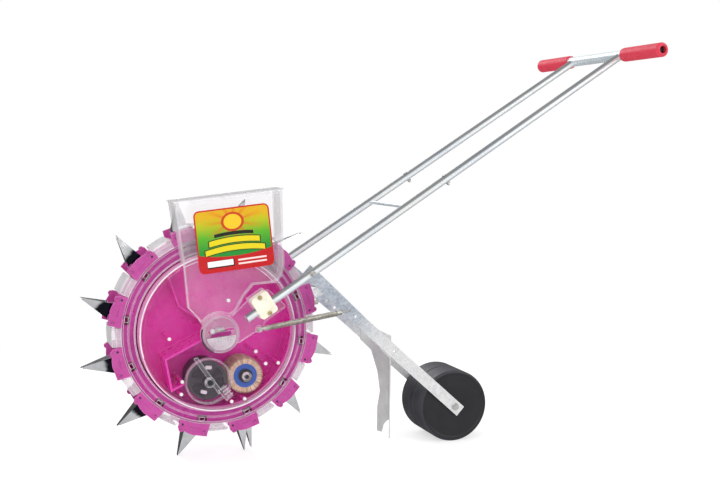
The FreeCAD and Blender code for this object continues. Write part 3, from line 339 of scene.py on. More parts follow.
def leg_strip(name):
    """Galvanised strip, bluish and mottled near its pivot and paler and smoother towards the wheel. The
    spangle is the zinc's own; the darker tone near the pivot is painted shade of the slanted upper part.
    """
    paint = Paint(name, Metallic=0.35)
    along = paint.vector_math("DOT_PRODUCT", paint.away_from(PIVOT), LEG_WAY)["Value"]
    far = paint.ramp(along, (0.13, 0.0), (0.24, 1.0))
    tone = paint.plus(paint.times(paint.spangles(300.0), 0.35),
                      paint.times(paint.noise(60.0, 5.0, 0.6), 0.65))
    # partly painted shade: the darker bluish tone near the pivot, over the zinc's own spangle
    near = paint.ramp(tone, (0.3, (0.34, 0.38, 0.45)), (0.7, (0.56, 0.60, 0.66)))
    pale = paint.ramp(tone, (0.3, (0.66, 0.66, 0.67)), (0.7, (0.80, 0.80, 0.80)))
    # painted highlight: the edges are blended half way to pale grey
    edge_highlight = paint.times(paint.edge_mask(0.0009), 0.5)
    paint.set(Base_Color=paint.blend(edge_highlight, paint.blend(far, near, pale), (0.92, 0.92, 0.92)))
    paint.set(Roughness=paint.ramp(paint.noise(70.0, 4.0), (0.3, 0.30), (0.75, 0.5)))
    return paint.bump(tone, 0.00004).bump(paint.noise(14.0, 2.0), 0.0005, 0.3).material


def wheel_plastic(name):
    """Black moulded wheel: slate on the tread, nearly black on the end faces, with a dark seam."""
    paint = Paint(name, IOR=1.48)
    end = paint.ramp(paint.math("ABSOLUTE", paint.axes(paint.normal())[1]), (0.5, 0.0), (0.85, 1.0))
    cloud = paint.noise(25.0, 5.0, 0.6)
    tread = paint.ramp(cloud, (0.3, (0.030, 0.031, 0.038)), (0.75, (0.060, 0.062, 0.075)))
    face = paint.ramp(cloud, (0.3, (0.006, 0.006, 0.008)), (0.75, (0.013, 0.013, 0.017)))
    seam = paint.ramp(paint.math("ABSOLUTE", paint.axes(paint.place)[1]), (0.0010, 1.0), (0.0019, 0.0))
    body = paint.blend(seam, paint.blend(end, tread, face), (0.004, 0.004, 0.005))
    # painted highlight: the edges are blended half way to dark grey
    edge_highlight = paint.times(paint.edge_mask(0.0012), 0.5)
    paint.set(Base_Color=paint.blend(edge_highlight, body, (0.16, 0.16, 0.18)))
    paint.set(Roughness=paint.ramp(paint.noise(50.0, 4.0), (0.3, 0.36), (0.75, 0.52)))
    return paint.bump(paint.noise(420.0, 2.0), 0.00008).bump(paint.noise(30.0, 2.0), 0.0003, 0.4).material


def plain_plastic(name, colour, roughness, grain=700.0, depth=0.00004, mottle=0.14, **extra):
    """Moulded or dipped plastic: small changes of tone, a grain, and edges painted paler as a highlight.
    """
    paint = Paint(name, IOR=1.48, **extra)
    darker = tuple(c * (1 - mottle) for c in colour)
    lighter = tuple(min(1.0, c * (1 + mottle) + 0.004) for c in colour)
    body = paint.ramp(paint.noise(30.0, 5.0, 0.6), (0.3, darker), (0.75, lighter))
    # painted highlight: the edges are blended towards a paler copy of the colour
    edge_highlight = paint.times(paint.edge_mask(0.0009), 0.35)
    pale = tuple(min(1.0, c * 1.5 + 0.05) for c in colour)
    paint.set(Base_Color=paint.blend(edge_highlight, body, pale))
    paint.set(Roughness=paint.ramp(paint.noise(55.0, 4.0), (0.3, roughness), (0.75, roughness + 0.14)))
    return paint.bump(paint.noise(grain, 2.0), depth).bump(paint.noise(40.0, 2.0), 0.0002, 0.4).material


def plated_steel(name, colour, roughness):
    """Small plated fasteners and wire: uneven shine with dirt in patches."""
    paint = Paint(name, Metallic=1.0)
    dull = tuple(c * 0.55 for c in colour)
    paint.set(Base_Color=paint.ramp(paint.noise(160.0, 4.0, 0.6), (0.32, dull), (0.62, colour)))
    paint.set(Roughness=paint.ramp(paint.noise(240.0, 3.0), (0.3, roughness), (0.75, roughness + 0.22)))
    return paint.bump(paint.noise(1200.0, 2.0), 0.00002).material


def bristle_fibre(name):
    """Natural fibre: streaks that run out from the brush's core, each bristle its own shade."""
    paint = Paint(name, Roughness=0.62, Sheen_Weight=0.3)
    x, y, z = paint.axes(paint.away_from(BRUSH))
    streaks_and_light_bands = paint.node("ShaderNodeCombineXYZ")
    paint.join(paint.math("ARCTAN2", z, x), streaks_and_light_bands.inputs[0])
    paint.join(y, streaks_and_light_bands.inputs[1])
    wound = paint.node("ShaderNodeTexNoise")
    paint.join(streaks_and_light_bands.outputs[0], wound.inputs["Vector"])
    wound.inputs["Scale"].default_value = 22.0
    wound.inputs["Detail"].default_value = 4.0
    tone = paint.plus(paint.times(wound.outputs[0], 0.8), paint.times(paint.noise(500.0, 2.0), 0.2))
    paint.set(Base_Color=paint.ramp(tone, (0.34, (0.26, 0.15, 0.09)), (0.5, (0.56, 0.40, 0.26)),
                                    (0.64, (0.85, 0.70, 0.52))))
    return paint.bump(wound.outputs[0], 0.0004).bump(paint.noise(1500.0, 2.0), 0.00005).material


LABEL_HALF = (0.07575, 0.062)  # half its width and half its height, in metres
LABEL_CORNER = 0.011
RED, DARK_GREEN = (0.56, 0.006, 0.010), (0.015, 0.05, 0.010)
YELLOW, WHITE = (0.76, 0.62, 0.01), (0.90, 0.88, 0.86)


def printed_label(name):
    """A printed plate with a plain design: a red border, a sun with rays over a green field, a dark
    band and two arched yellow ones, and a red foot with a white block and two pale lines."""
    paint = Paint(name, Roughness=0.3, IOR=1.22)
    low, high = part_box("hopper_label")
    across, _, up = paint.axes(paint.rotated(paint.away_from((low + high) / 2), HOPPER_TILT))
    u = paint.math("DIVIDE", across, LABEL_HALF[0])
    w = paint.math("DIVIDE", up, LABEL_HALF[1])

    field_share = paint.node("ShaderNodeMapRange")
    paint.join(w, field_share.inputs[0])
    field_share.inputs[1].default_value = -0.35
    field_share.inputs[2].default_value = 0.75
    field = paint.ramp(field_share.outputs[0], (0.0, (0.015, 0.26, 0.03)), (0.45, (0.10, 0.42, 0.02)),
                       (0.8, (0.48, 0.50, 0.01)), (1.0, (0.70, 0.42, 0.01)))
    rise = paint.math("SUBTRACT", w, 0.55)
    spread = paint.reach(u, rise)
    rays = paint.math("SINE", paint.times(paint.math("ARCTAN2", u, rise), 11.0))
    near_sun = paint.ramp(spread, (0.1, 1.0), (0.85, 0.0))
    ray_share = paint.times(paint.ramp(paint.times(rays, 0.5), (0.0, 0.15), (0.4, 0.8)), near_sun)
    art = paint.blend(ray_share, field, (0.72, 0.09, 0.005))
    art = paint.blend(paint.math("LESS_THAN", spread, 0.26), art, (0.85, 0.55, 0.02))
    from_rim = paint.math("ABSOLUTE", paint.math("SUBTRACT", spread, 0.27))
    art = paint.blend(paint.math("LESS_THAN", from_rim, 0.035), art, (0.55, 0.05, 0.01))
    sag = paint.times(paint.times(u, u), -0.16)
    arched = paint.math("SUBTRACT", w, sag)

    def strip(middle_u, middle_w, half_u, half_w, height=arched):
        """1 inside a band of the label, in shares of its half width and half height."""
        beside = paint.math("ABSOLUTE", paint.math("SUBTRACT", u, middle_u))
        above = paint.math("ABSOLUTE", paint.math("SUBTRACT", height, middle_w))
        return paint.times(paint.math("LESS_THAN", beside, half_u),
                           paint.math("LESS_THAN", above, half_w))

    art = paint.blend(strip(0.0, 0.19, 0.52, 0.055), art, (0.012, 0.014, 0.010))
    for middle, wide in ((-0.02, 0.70), (-0.27, 0.82)):
        art = paint.blend(strip(0.0, middle, wide, 0.115), art, DARK_GREEN)
        art = paint.blend(strip(0.0, middle, wide - 0.03, 0.085), art, YELLOW)
    foot_line = paint.plus(-0.54, paint.times(sag, -0.9))
    art = paint.blend(paint.math("LESS_THAN", w, foot_line), art, (0.52, 0.008, 0.012))
    art = paint.blend(strip(-0.42, -0.74, 0.36, 0.115, w), art, (0.02, 0.008, 0.008))
    art = paint.blend(strip(-0.43, -0.725, 0.34, 0.09, w), art, WHITE)
    for middle in (-0.69, -0.81):
        art = paint.blend(strip(0.42, middle, 0.38, 0.028, w), art, (0.90, 0.70, 0.68))
    past = [paint.math("SUBTRACT", paint.math("ABSOLUTE", part), half - LABEL_CORNER)
            for part, half in zip((across, up), LABEL_HALF)]
    corner_reach = paint.reach(*(paint.math("MAXIMUM", part, 0.0) for part in past))
    art = paint.blend(paint.math("GREATER_THAN", corner_reach, 0.0082), art, RED)
    fade = paint.times(paint.noise(200.0, 3.0), 0.025)
    paint.set(Base_Color=paint.blend(fade, art, (0.95, 0.9, 0.8)))
    return paint.bump(paint.noise(900.0, 2.0), 0.00001).material


def floor_finish():
    """Pale floor that turns into the plain background away from the machine."""
    paint = Paint("studio_floor", Roughness=0.75, Emission_Color=(1.0, 1.0, 1.0), Emission_Strength=0.62)
    paint.set(Base_Color=paint.ramp(paint.noise(1.5, 3.0), (0.3, 0.50), (0.8, 0.53)))
    paint.bump(paint.noise(300.0, 2.0), 0.00005)
    reach = paint.node("ShaderNodeVectorMath", operation="LENGTH")
    paint.join(paint.place, reach.inputs[0])
    far = paint.ramp(paint.times(reach.outputs["Value"], 0.5), (0.35, 0.0), (0.75, 1.0))
    glow = paint.node("ShaderNodeEmission").outputs[0]
    paint.join(paint.mixed(far, paint.shader.outputs[0], glow), paint.output.inputs["Surface"])
    return paint.material


# painted reflection on the handle tubes: bright just below the middle, dark along the top
TUBE_PAINTED_LIGHT = ((0.05, 0.80), (0.16, 0.78), (0.36, 1.0), (0.60, 0.92), (0.77, 0.24), (0.93, 0.25))

MATERIALS = {
    "magenta": glossy_magenta("magenta_shell", (0.76, 0.005, 0.40), (0.60, 0.003, 0.31), 0.22, 0.06),
    # painted shade: the shell's magenta made darker, with less painted glow and edge highlight, for the
    # pocket ring
    "magenta_ring": glossy_magenta("magenta_ring", (0.43, 0.003, 0.25), (0.33, 0.002, 0.19), 0.26, 0.02,
                                   pale=0.15),
    "magenta_seat": glossy_magenta("magenta_seat", (0.51, 0.045, 0.31), (0.42, 0.027, 0.25), 0.30, 0.0),
    "clear": clear_plastic("clear_housing", 0.0, 0.85, (0.99, 0.96, 0.985), (0.96, 0.90, 0.95), 0.05,
                           0.0018, 0.010),
    "clear_hopper": clear_plastic("clear_hopper", 0.045, 0.7, (0.99, 0.985, 0.99), (0.92, 0.91, 0.93)),
    "clear_milky": clear_plastic("clear_spacer", 0.22, 0.85, (0.99, 0.98, 0.99), (0.93, 0.93, 0.94)),
    "clear_arm": clear_plastic("clear_arm", 0.035, 0.85),
    "clear_hub": clear_plastic("clear_hub", 0.15, 0.85, (0.97, 0.93, 0.96), (0.62, 0.57, 0.62)),
    "clear_cup": clear_plastic("clear_cup", 0.008, 0.85, shine=0.012),
    # painted highlight: milky white for the ring on the clear cover's rim
    "rim_highlight": clear_plastic("cover_rim_highlight", 0.62, 0.9, (0.99, 0.95, 0.98), (0.98, 0.93, 0.97)),
    "beak": polished_steel("polished_sheet"),
    "tube": zinc_tube("zinc_tube", (0.84, 0.86, 0.88), TUBE_SLOPE, metal=0.4, dull=0.24,
                      streaks_and_light_bands=TUBE_PAINTED_LIGHT),
    "bar": zinc_tube("zinc_bar", (0.76, 0.82, 0.86), 0.0, metal=0.5, dull=0.36),
    "leg": leg_strip("galvanised_leg"),
    "blade": galvanised("rolled_blade", (0.56, 0.56, 0.565), (0.68, 0.68, 0.68), 0.3, share=0.1),
    "cream": plain_plastic("cream_nylon", (0.86, 0.82, 0.68), 0.42, Subsurface_Weight=0.2,
                           Subsurface_Radius=(0.004, 0.003, 0.002)),
    "grip": plain_plastic("red_grip", (0.70, 0.035, 0.075), 0.42, grain=500.0, depth=0.00008,
                          mottle=0.08),
    "wheel": wheel_plastic("black_wheel"),
    "roller": plain_plastic("grey_roller", (0.040, 0.042, 0.045), 0.34),
    "black": plain_plastic("black_nylon", (0.012, 0.012, 0.014), 0.35),
    "white": plain_plastic("white_acetal", (0.80, 0.80, 0.77), 0.4),
    "blue": plain_plastic("blue_core", (0.03, 0.11, 0.42), 0.32),
    "bristle": bristle_fibre("brush_fibre"),
    "screw": plated_steel("zinc_screw", (0.80, 0.78, 0.76), 0.25),
    "brass": plated_steel("yellow_zinc_screw", (0.72, 0.58, 0.30), 0.3),
    "spring": plated_steel("spring_wire", (0.78, 0.76, 0.68), 0.36),
    "label": printed_label("printed_plate"),
    "frost": clear_plastic("frosted_cap", 0.45, 0.9, (0.97, 0.93, 0.96), (0.80, 0.74, 0.79), 0.2),
    "shade": plain_plastic("shaded_magenta", (0.30, 0.006, 0.16), 0.3),
}

NODE_FINISH = {
    "magenta": ["drum_disc", "inner_shell", "ring_gear"],
    "magenta_ring": ["pocket_ring"],
    "magenta_seat": ["seats"],
    "clear": ["near_ring", "front_cover"],
    "clear_hopper": ["hopper", "hopper_lid"],
    "clear_milky": ["spacers"],
    "clear_arm": ["arm_boss_near", "arm_boss_far", "latch_lever"],
    "clear_hub": ["hub_cap"],
    "clear_cup": ["roller_cup"],
    "beak": ["fixed_beaks"] + [f"flap_{k:02d}" for k in range(1, BEAKS + 1)],
    "tube": ["tube_near", "tube_far", "upper_tube_near", "upper_tube_far"],
    "bar": ["handlebar", "tie_bar"],
    "leg": ["leg_near", "leg_far"],
    "blade": ["coverer_near", "coverer_far"],
    "cream": ["tube_clamps"],
    "grip": ["grip_near", "grip_far"],
    "wheel": ["wheel_half_near", "wheel_half_far"],
    "roller": ["seed_roller"],
    "black": ["roller_gear", "brush_gear"],
    "white": ["drum_bearing"],
    "blue": ["brush_hub"],
    "bristle": ["brush_bristles"],
    "screw": ["axle", "axle_nuts", "hinge_pins", "cover_screws", "spring_anchors", "tube_bolts",
              "pivot_bolts", "wheel_axle"],
    "brass": ["clamp_screws"],
    "spring": ["tension_springs"],
    "label": ["hopper_label"],
}


def paint_frame():
    """Every CAD body in its finish. Clear bodies let the light through to what they cover."""
    for finish, names in NODE_FINISH.items():
        for name in names:
            mesh = nodes[name].data
            mesh.materials.clear()
            mesh.materials.append(MATERIALS[finish])
            nodes[name].visible_shadow = not finish.startswith("clear")


# ---- shapes ---------------------------------------------------------------------------------------


def at_drum(x, y, z):
    """A point given in millimetres from the drum axis."""
    return DRUM + Vector((x, y, z)) * MM


def out_and_along(turn):
    """Directions away from a cross axis and along the turn about it, at an angle in radians."""
    return Vector((math.cos(turn), 0, math.sin(turn))), Vector((-math.sin(turn), 0, math.cos(turn)))


def round_drum(radius, y, angle, sideways=0.0):
    """A point about the drum axis, moved sideways along the turn, in millimetres and degrees."""
    out, along = out_and_along(math.radians(angle))
    return DRUM + (out * radius + along * sideways + Vector((0, y, 0))) * MM


def cross_axes(axis):
    """Two directions square to an axis and to each other."""
    axis = axis.normalized()
    first = axis.cross(Vector((0, 0, 1)) if abs(axis.z) < 0.9 else Vector((1, 0, 0))).normalized()
    return first, axis.cross(first)


class Build:
    """Gathers shapes into one mesh."""

    def __init__(self):
        self.spots, self.faces = [], []

    def add(self, spots, faces):
        start = len(self.spots)
        self.spots += [Vector(spot) for spot in spots]
        self.faces += [tuple(start + i for i in face) for face in faces]
        return self

    def turned(self, profile, centre, axis, sides=32):
        """A turned shape: profile gives pairs of distance along the axis and radius, in millimetres."""
        axis = Vector(axis).normalized()
        first, second = cross_axes(axis)
        spots, faces, rings = [], [], []
        for along, radius in profile:
            middle = Vector(centre) + axis * along * MM
            if radius == 0:
                rings.append([len(spots)] * sides)
                spots.append(middle)
                continue
            rings.append(list(range(len(spots), len(spots) + sides)))
            for k in range(sides):
                turn = 2 * math.pi * k / sides
                spots.append(middle + (first * math.cos(turn) + second * math.sin(turn)) * radius * MM)
        for low, high in zip(rings, rings[1:]):
            for k in range(sides):
                corners = [low[k], low[(k + 1) % sides], high[(k + 1) % sides], high[k]]
                faces.append(tuple(dict.fromkeys(corners)))
        for ring, flip in ((rings[0], True), (rings[-1], False)):
            if len(set(ring)) > 1:
                faces.append(tuple(reversed(ring)) if flip else tuple(ring))
        return self.add(spots, faces)

    def tube(self, path, radius, sides=8):
        """A round wire of that radius, in millimetres, along a path of points, closed at its ends."""
        path = [Vector(spot) for spot in path]
        ahead = (path[1] - path[0]).normalized()
        first, _ = cross_axes(ahead)
        spots, faces = [], []
        for i, spot in enumerate(path):
            before, after = path[max(i - 1, 0)], path[min(i + 1, len(path) - 1)]
            ahead = (after - before).normalized()
            first = (first - ahead * first.dot(ahead)).normalized()
            second = ahead.cross(first)
            for k in range(sides):
                turn = 2 * math.pi * k / sides
                spots.append(spot + (first * math.cos(turn) + second * math.sin(turn)) * radius * MM)
        for i in range(len(path) - 1):
            for k in range(sides):
                a, b = i * sides + k, i * sides + (k + 1) % sides
                faces.append((a, b, b + sides, a + sides))
        last = (len(path) - 1) * sides
        faces.append(tuple(reversed(range(sides))))
        faces.append(tuple(range(last, last + sides)))
        return self.add(spots, faces)

    def plate(self, outline, depth):
        """A flat outline of points, thickened by a vector."""
        outline = [Vector(spot) for spot in outline]
        count = len(outline)
        faces = [tuple(reversed(range(count))), tuple(range(count, 2 * count))]
        faces += [(i, (i + 1) % count, count + (i + 1) % count, count + i) for i in range(count)]
        return self.add(outline + [spot + Vector(depth) for spot in outline], faces)

    def piece(self, name, finish, slot, body=None, bevel=0.0, sharp=35.0):
        """The finished object. Bevel is in millimetres."""
        mesh = bpy.data.meshes.new(name)
        mesh.from_pydata([tuple(spot) for spot in self.spots], [], self.faces)
        work = bmesh.new()
        work.from_mesh(mesh)
        bmesh.ops.recalc_face_normals(work, faces=work.faces)
        work.to_mesh(mesh)
        work.free()
        mesh.shade_smooth()
        mesh.set_sharp_from_angle(angle=math.radians(sharp))
        mesh.materials.append(MATERIALS[finish])
        made = bpy.data.objects.new(name, mesh)
        bpy.context.scene.collection.objects.link(made)
        if bevel:
            round_off = made.modifiers.new("edges", "BEVEL")
            round_off.width = bevel * MM
            round_off.segments = 2
            round_off.limit_method = "ANGLE"
            round_off.angle_limit = math.radians(40)
        if body:
            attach(made, body)
        return made


def rounded_box(length, width, corner, steps=5):
    """Corners of a rounded rectangle about the origin, as pairs, in millimetres."""
    spots = []
    for k, (side, rise) in enumerate(((1, 1), (-1, 1), (-1, -1), (1, -1))):
        for i in range(steps + 1):
            turn = math.pi / 2 * (k + i / steps)
            spots.append((side * (length / 2 - corner) + corner * math.cos(turn),
                          rise * (width / 2 - corner) + corner * math.sin(turn)))
    return spots


def smooth_line(corners, steps):
    """Points along a smooth curve through the corners (Catmull-Rom)."""
    last = len(corners) - 1
    spots = []
    for i in range(last):
        a, b, c, d = (corners[min(max(i + k, 0), last)] for k in (-1, 0, 1, 2))
        for step in range(steps):
            t = step / steps
            spots.append(0.5 * ((2 * b) + (c - a) * t + (2 * a - 5 * b + 4 * c - d) * t * t
                                + (3 * b - a - 3 * c + d) * t * t * t))
    return spots + [corners[-1]]


# ---- springs --------------------------------------------------------------------------------------

HOOK_ALONG = 124.0  # the spring's hole in a leg, from the pivot towards the wheel
SPRING_Y = (99.0, 82.2)  # a spring's distance from the middle, at its anchor and at its leg


def make_spring(side, name):
    """A close-wound tension spring with an eye at its anchor, and a nut and a hook at its leg."""
    low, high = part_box("spring_anchors")
    anchor = Vector(((low.x + high.x) / 2, side * SPRING_Y[0] * MM, (low.z + high.z) / 2))
    hole = PIVOT + LEG_WAY * HOOK_ALONG * MM
    end = Vector((hole.x, side * SPRING_Y[1] * MM, hole.z))
    way = (end - anchor).normalized()
    first, second = cross_axes(way)
    length = (end - anchor).length / MM
    coil_low, coil_high, wire, wound = 19.0, length - 27.0, 0.95, 4.9
    turns = int((coil_high - coil_low) / (wire * 2.25))
    build = Build()
    coil = []
    sides = 14
    for i in range(turns * sides + 1):
        along = coil_low + (coil_high - coil_low) * i / (turns * sides)
        turn = 2 * math.pi * i / sides
        close = min(1.0, 0.35 + i / (1.5 * sides), 0.35 + (turns * sides - i) / (1.5 * sides))
        coil.append(anchor + way * along * MM
                    + (first * math.cos(turn) + second * math.sin(turn)) * wound * close * MM)
    build.tube(coil, wire, 7)
    eye = []
    for i in range(25):
        turn = 2 * math.pi * i / 24
        eye.append(anchor + Vector((math.cos(turn), 0, math.sin(turn))) * 4.2 * MM)
    build.tube(eye, 1.25, 8)
    build.turned([(4, 0), (4, 2.0), (7, 3.2), (11, 4.8), (15, 5.6), (19.5, 5.4), (20.5, 4.4), (20.5, 0)],
                 anchor, way, 20)
    build.turned([(length - 28, 0), (length - 28, 4.4), (length - 27, 5.2), (length - 20, 5.2),
                  (length - 19, 4.4), (length - 19, 0)], anchor, way, 6)
    inward = Vector((0, -side, 0))
    hook = [anchor + way * (length - 20) * MM, anchor + way * (length - 8) * MM, end - way * 3 * MM,
            end + inward * 1.5 * MM, end + inward * 5.5 * MM, end + inward * 9 * MM + way * 0.5 * MM,
            end + inward * 10.5 * MM + way * 3.5 * MM]
    build.tube(smooth_line(hook, 5), 1.25, 8)
    made = build.piece(name, "spring", "spring_steel")
    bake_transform(made)
    return made


def make_springs():
    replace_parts(make_spring(-1, "tension_spring_near"), "tension_springs")
    make_spring(1, "tension_spring_far")


def make_flap_springs():
    """A small return spring round the knuckle of each flap."""
    build = Build()
    for angle in BEAK_ANGLES:
        path = []
        for i in range(6 * 12 + 1):
            turn = 2 * math.pi * i / 12
            path.append(round_drum(206 + 4.9 * math.cos(turn), -8 + 16 * i / 72, angle,
                                   24 + 4.9 * math.sin(turn)))
        path = [round_drum(199, -8, angle, 22)] + path + [round_drum(200, 8, angle, 24)]
        build.tube(path, 0.55, 6)
    build.piece("flap_springs", "spring", "spring_steel", "drum")


# ---- brush and roller -----------------------------------------------------------------------------

HOUSING_NEAR = -62.0  # the near faces of the roller and the brush


def make_bristles():
    """Radial bristles packed into a ring, each a tapered sliver with its own lean."""
    build = Build()
    draw = random.Random(7)
    for k in range(2600):
        turn = 2 * math.pi * draw.random()
        near = draw.random() < 0.35
        y = HOUSING_NEAR + 0.8 + (draw.random() * 3 if near else draw.random() * 62)
        lean = draw.uniform(-0.06, 0.06)
        tip = draw.uniform(35.4, 36.9)
        for radius, angle, width in ((23.6, turn, 0.42), (tip, turn + lean, 0.20)):
            out, side = out_and_along(angle)
            middle = BRUSH + out * radius * MM + Vector((0, y, 0)) * MM
            for i in range(3):
                spin = 2 * math.pi * i / 3 + turn
                round_it = side * math.cos(spin) + Vector((0, math.sin(spin), 0))
                build.spots.append(middle + round_it * width * MM)
        base = len(build.spots) - 6
        for i in range(3):
            j = (i + 1) % 3
            build.faces.append((base + i, base + j, base + 3 + j, base + 3 + i))
        build.faces += [(base + 2, base + 1, base), (base + 3, base + 4, base + 5)]
    build.turned([(0, 24.02), (0, 33.5), (63, 33.5), (63, 24.02), (0, 24.02)],
                 BRUSH + Vector((0, HOUSING_NEAR + 0.6, 0)) * MM, (0, 1, 0), 48)
    made = build.piece("brush_fibres", "bristle", "bristle", "brush")
    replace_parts(made, "brush_bristles")
    washer = Build().turned([(-4.0, 5.2), (-4.0, 7.2), (-3.4, 8.4), (-0.4, 8.4), (-0.4, 5.2)],
                            BRUSH + Vector((0, HOUSING_NEAR - 3.2, 0)) * MM, (0, 1, 0), 6)
    washer.piece("brush_nut", "screw", "steel_fastener", "brush")


def make_roller_face():
    """The near face of the seed roller: two white cell slides, a hub ring and darker webs."""
    slides = Build()
    for angle, radius in ((84.6, 25.5), (252.5, 24.5)):
        out, along = out_and_along(math.radians(angle))
        middle = ROLLER + out * radius * MM + Vector((0, HOUSING_NEAR - 0.6, 0)) * MM
        slides.plate([middle + (along * a + out * b) * MM for a, b in rounded_box(13.0, 7.0, 2.6)],
                     (0, 4.4 * MM, 0))
    slides.piece("roller_slides", "white", "white_plastic", "roller", bevel=0.5)
    webs = Build()
    for start, sweep in ((200, 62), (320, 48), (20, 30), (112, 55)):
        inner = [(12.0, start + sweep * i / 10) for i in range(11)]
        outer = [(32.5, start + sweep * (10 - i) / 10) for i in range(11)]
        spots = []
        for radius, angle in inner + outer:
            out, _ = out_and_along(math.radians(angle))
            spots.append(ROLLER + (out * radius + Vector((0, HOUSING_NEAR + 1.2, 0))) * MM)
        webs.plate(spots, (0, 2.7 * MM, 0))
    webs.turned([(-1.4, 7.0), (-1.4, 10.5), (-0.7, 11.2), (3.8, 11.2), (3.8, 7.0)],
                ROLLER + Vector((0, HOUSING_NEAR, 0)) * MM, (0, 1, 0), 32)
    webs.piece("roller_webs", "black", "dark_plastic", "roller", bevel=0.4)


# ---- hub ------------------------------------------------------------------------------------------

HUB_NEAR = -97.0  # the near face of the hub cap


def make_cover_rim_highlight():
    """A milky white ring on the rim of the clear cover: a painted highlight, thick where the rim catches
    the light.
    """
    ring = Build()
    arcs = ((155.8, 0.75, 0, 360), (155.2, 1.5, 104, 196), (155.4, 1.1, 236, 318))
    for radius, thick, start, stop in arcs:
        count = max(12, int((stop - start) / 2.5))
        path = [round_drum(radius, -79.2, start + (stop - start) * i / count) for i in range(count + 1)]
        ring.tube(path, thick, 7)
    ring.piece("cover_rim_highlight", "rim_highlight", "clear_plastic", "frame")


# painted shade: the dark arc in the gap round the hub cap lies at this radius
CAP_SHADE_RADIUS = 37.6  # radius of the seam round the hub cap


def make_hub_details():
    """The cap's face: a raised frosted half with four ribs on it, a slot drawn as a dark plate of painted
    shade, a screw, and a black arc of painted shade in the gap round part of the cap.
    """
    lean = math.radians(6.0)

    def on_cap(a, b, out=0.0):
        return at_drum(a * math.cos(lean) - b * math.sin(lean), HUB_NEAR - out,
                       a * math.sin(lean) + b * math.cos(lean))

    frost = Build()
    arc = [math.radians(180 + 180 * i / 24) for i in range(25)]
    frost.plate([on_cap(29 * math.cos(t), -5 + 26 * math.sin(t), 0.1) for t in arc], (0, -2.2 * MM, 0))
    for a, wide, tall in ((-11, 7, 7), (0.5, 3.2, 15), (5.5, 3.2, 15), (14.5, 8, 7)):
        low = -20 if tall > 10 else -16
        square = ((0, 0), (1, 0), (1, 1), (0, 1))
        frost.plate([on_cap(a + wide * i, low + tall * j, 2.3) for i, j in square], (0, -1.0 * MM, 0))
    frost.piece("cap_half", "frost", "clear_plastic", "frame", bevel=0.5)
    outline = ((-21, -4), (16, -4), (20, -1), (20, 4), (-4, 5), (-21, 0))
    # painted shade: the slot is a dark magenta plate on the face
    slot = Build().plate([on_cap(a, b, 0.1) for a, b in outline], (0, -0.5 * MM, 0))
    slot.piece("cap_slot", "shade", "magenta_plastic", "frame")
    # painted shade: a black arc in the gap between the cap and its boss, round part of the cap only
    seam = Build()
    seam.tube([round_drum(CAP_SHADE_RADIUS, -93.2, angle) for angle in range(164, 252, 4)], 1.9, 8)
    seam.piece("cap_gap_shade", "black", "black_plastic", "frame")
    screw = Build()
    screw_head(screw, on_cap(-16.5, 8.5), (0, -1, 0), 5.0, 2.6)
    screw.piece("cap_screw", "frost", "clear_plastic", "frame", sharp=50)


# ---- seats ----------------------------------------------------------------------------------------

CHEEK = 50.0  # the outer faces of the seats' cheeks, from the middle


def make_seat_bosses():
    """Round bosses on both cheeks of the beak seats, and two raised pads on each near cheek."""
    bosses, pads = Build(), Build()
    for angle in BEAK_ANGLES:
        out, along = out_and_along(math.radians(angle))
        for radius, sideways, size in ((207, -17.5, 5.2), (206.5, 31, 4.6)):
            for side in (-1, 1):
                spot = round_drum(radius, side * CHEEK, angle, sideways)
                bosses.turned([(-3, 0), (-3, size), (1.6, size), (2.2, size - 0.7), (2.2, size - 2.0),
                               (0.4, size - 2.2), (0.4, 0)], spot, (0, side, 0), 20)
        for radius, sideways, size, high in ((192.5, 6, (26, 9, 2), 1.4), (204.0, 7, (15, 6, 1.5), 1.0)):
            middle = round_drum(radius, -50.1, angle, sideways)
            pads.plate([middle + (out * b + along * a) * MM for a, b in rounded_box(*size)],
                       (0, -high * MM, 0))
    bosses.piece("seat_bosses", "magenta_seat", "magenta_plastic", "drum", bevel=0.3)
    pads.piece("seat_pads", "magenta_seat", "magenta_plastic", "drum", bevel=0.5)


# ---- fasteners ------------------------------------------------------------------------------------

COVER_SCREWS = [(-98.9, -8.1), (-73.5, -94.0), (-75.4, -118.8), (25.5, -139.0), (52.0, -135.0),
                (74.5, -40.4), (95.0, -66.0), (120.9, -65.7)]
HOPPER_SCREW = (15.7, 65.7)
COVER_NEAR, HOPPER_NEAR = -79.0, -92.0  # the near faces under those screws


def screw_head(build, place, way, radius, height):
    """A domed head with a six-sided socket, standing on place and facing way."""
    dome = [(0, radius), (height * 0.35, radius), (height * 0.75, radius * 0.86), (height, radius * 0.55),
            (height * 0.95, radius * 0.46)]
    build.turned([(-0.3, 0), (-0.3, radius)] + dome, place, way, 24)
    socket = [(height * 0.98, radius * 0.5), (height * 0.3, radius * 0.38), (height * 0.25, 0)]
    build.turned(socket, place, way, 6)


def make_screws():
    cover = Build()
    for x, z in COVER_SCREWS:
        screw_head(cover, at_drum(x, COVER_NEAR, z), (0, -1, 0), 3.6, 2.0)
    screw_head(cover, at_drum(HOPPER_SCREW[0], HOPPER_NEAR, HOPPER_SCREW[1]), (0, -1, 0), 3.6, 2.0)
    made = cover.piece("cover_screw_heads", "white", "steel_fastener", "frame", sharp=50)
    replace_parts(made, "cover_screws")


def hex_bolt(build, place, way, flats, height):
    """A hexagon with a chamfered top and a washer under it."""
    corner = flats / 2 / math.cos(math.pi / 6)
    build.turned([(0, 0), (0, flats * 0.72), (1.2, flats * 0.72), (1.2, 0)], place, way, 28)
    build.turned([(1.2, 0), (1.2, corner), (height - 0.8, corner), (height, corner * 0.88), (height, 0)],
                 place, way, 6)


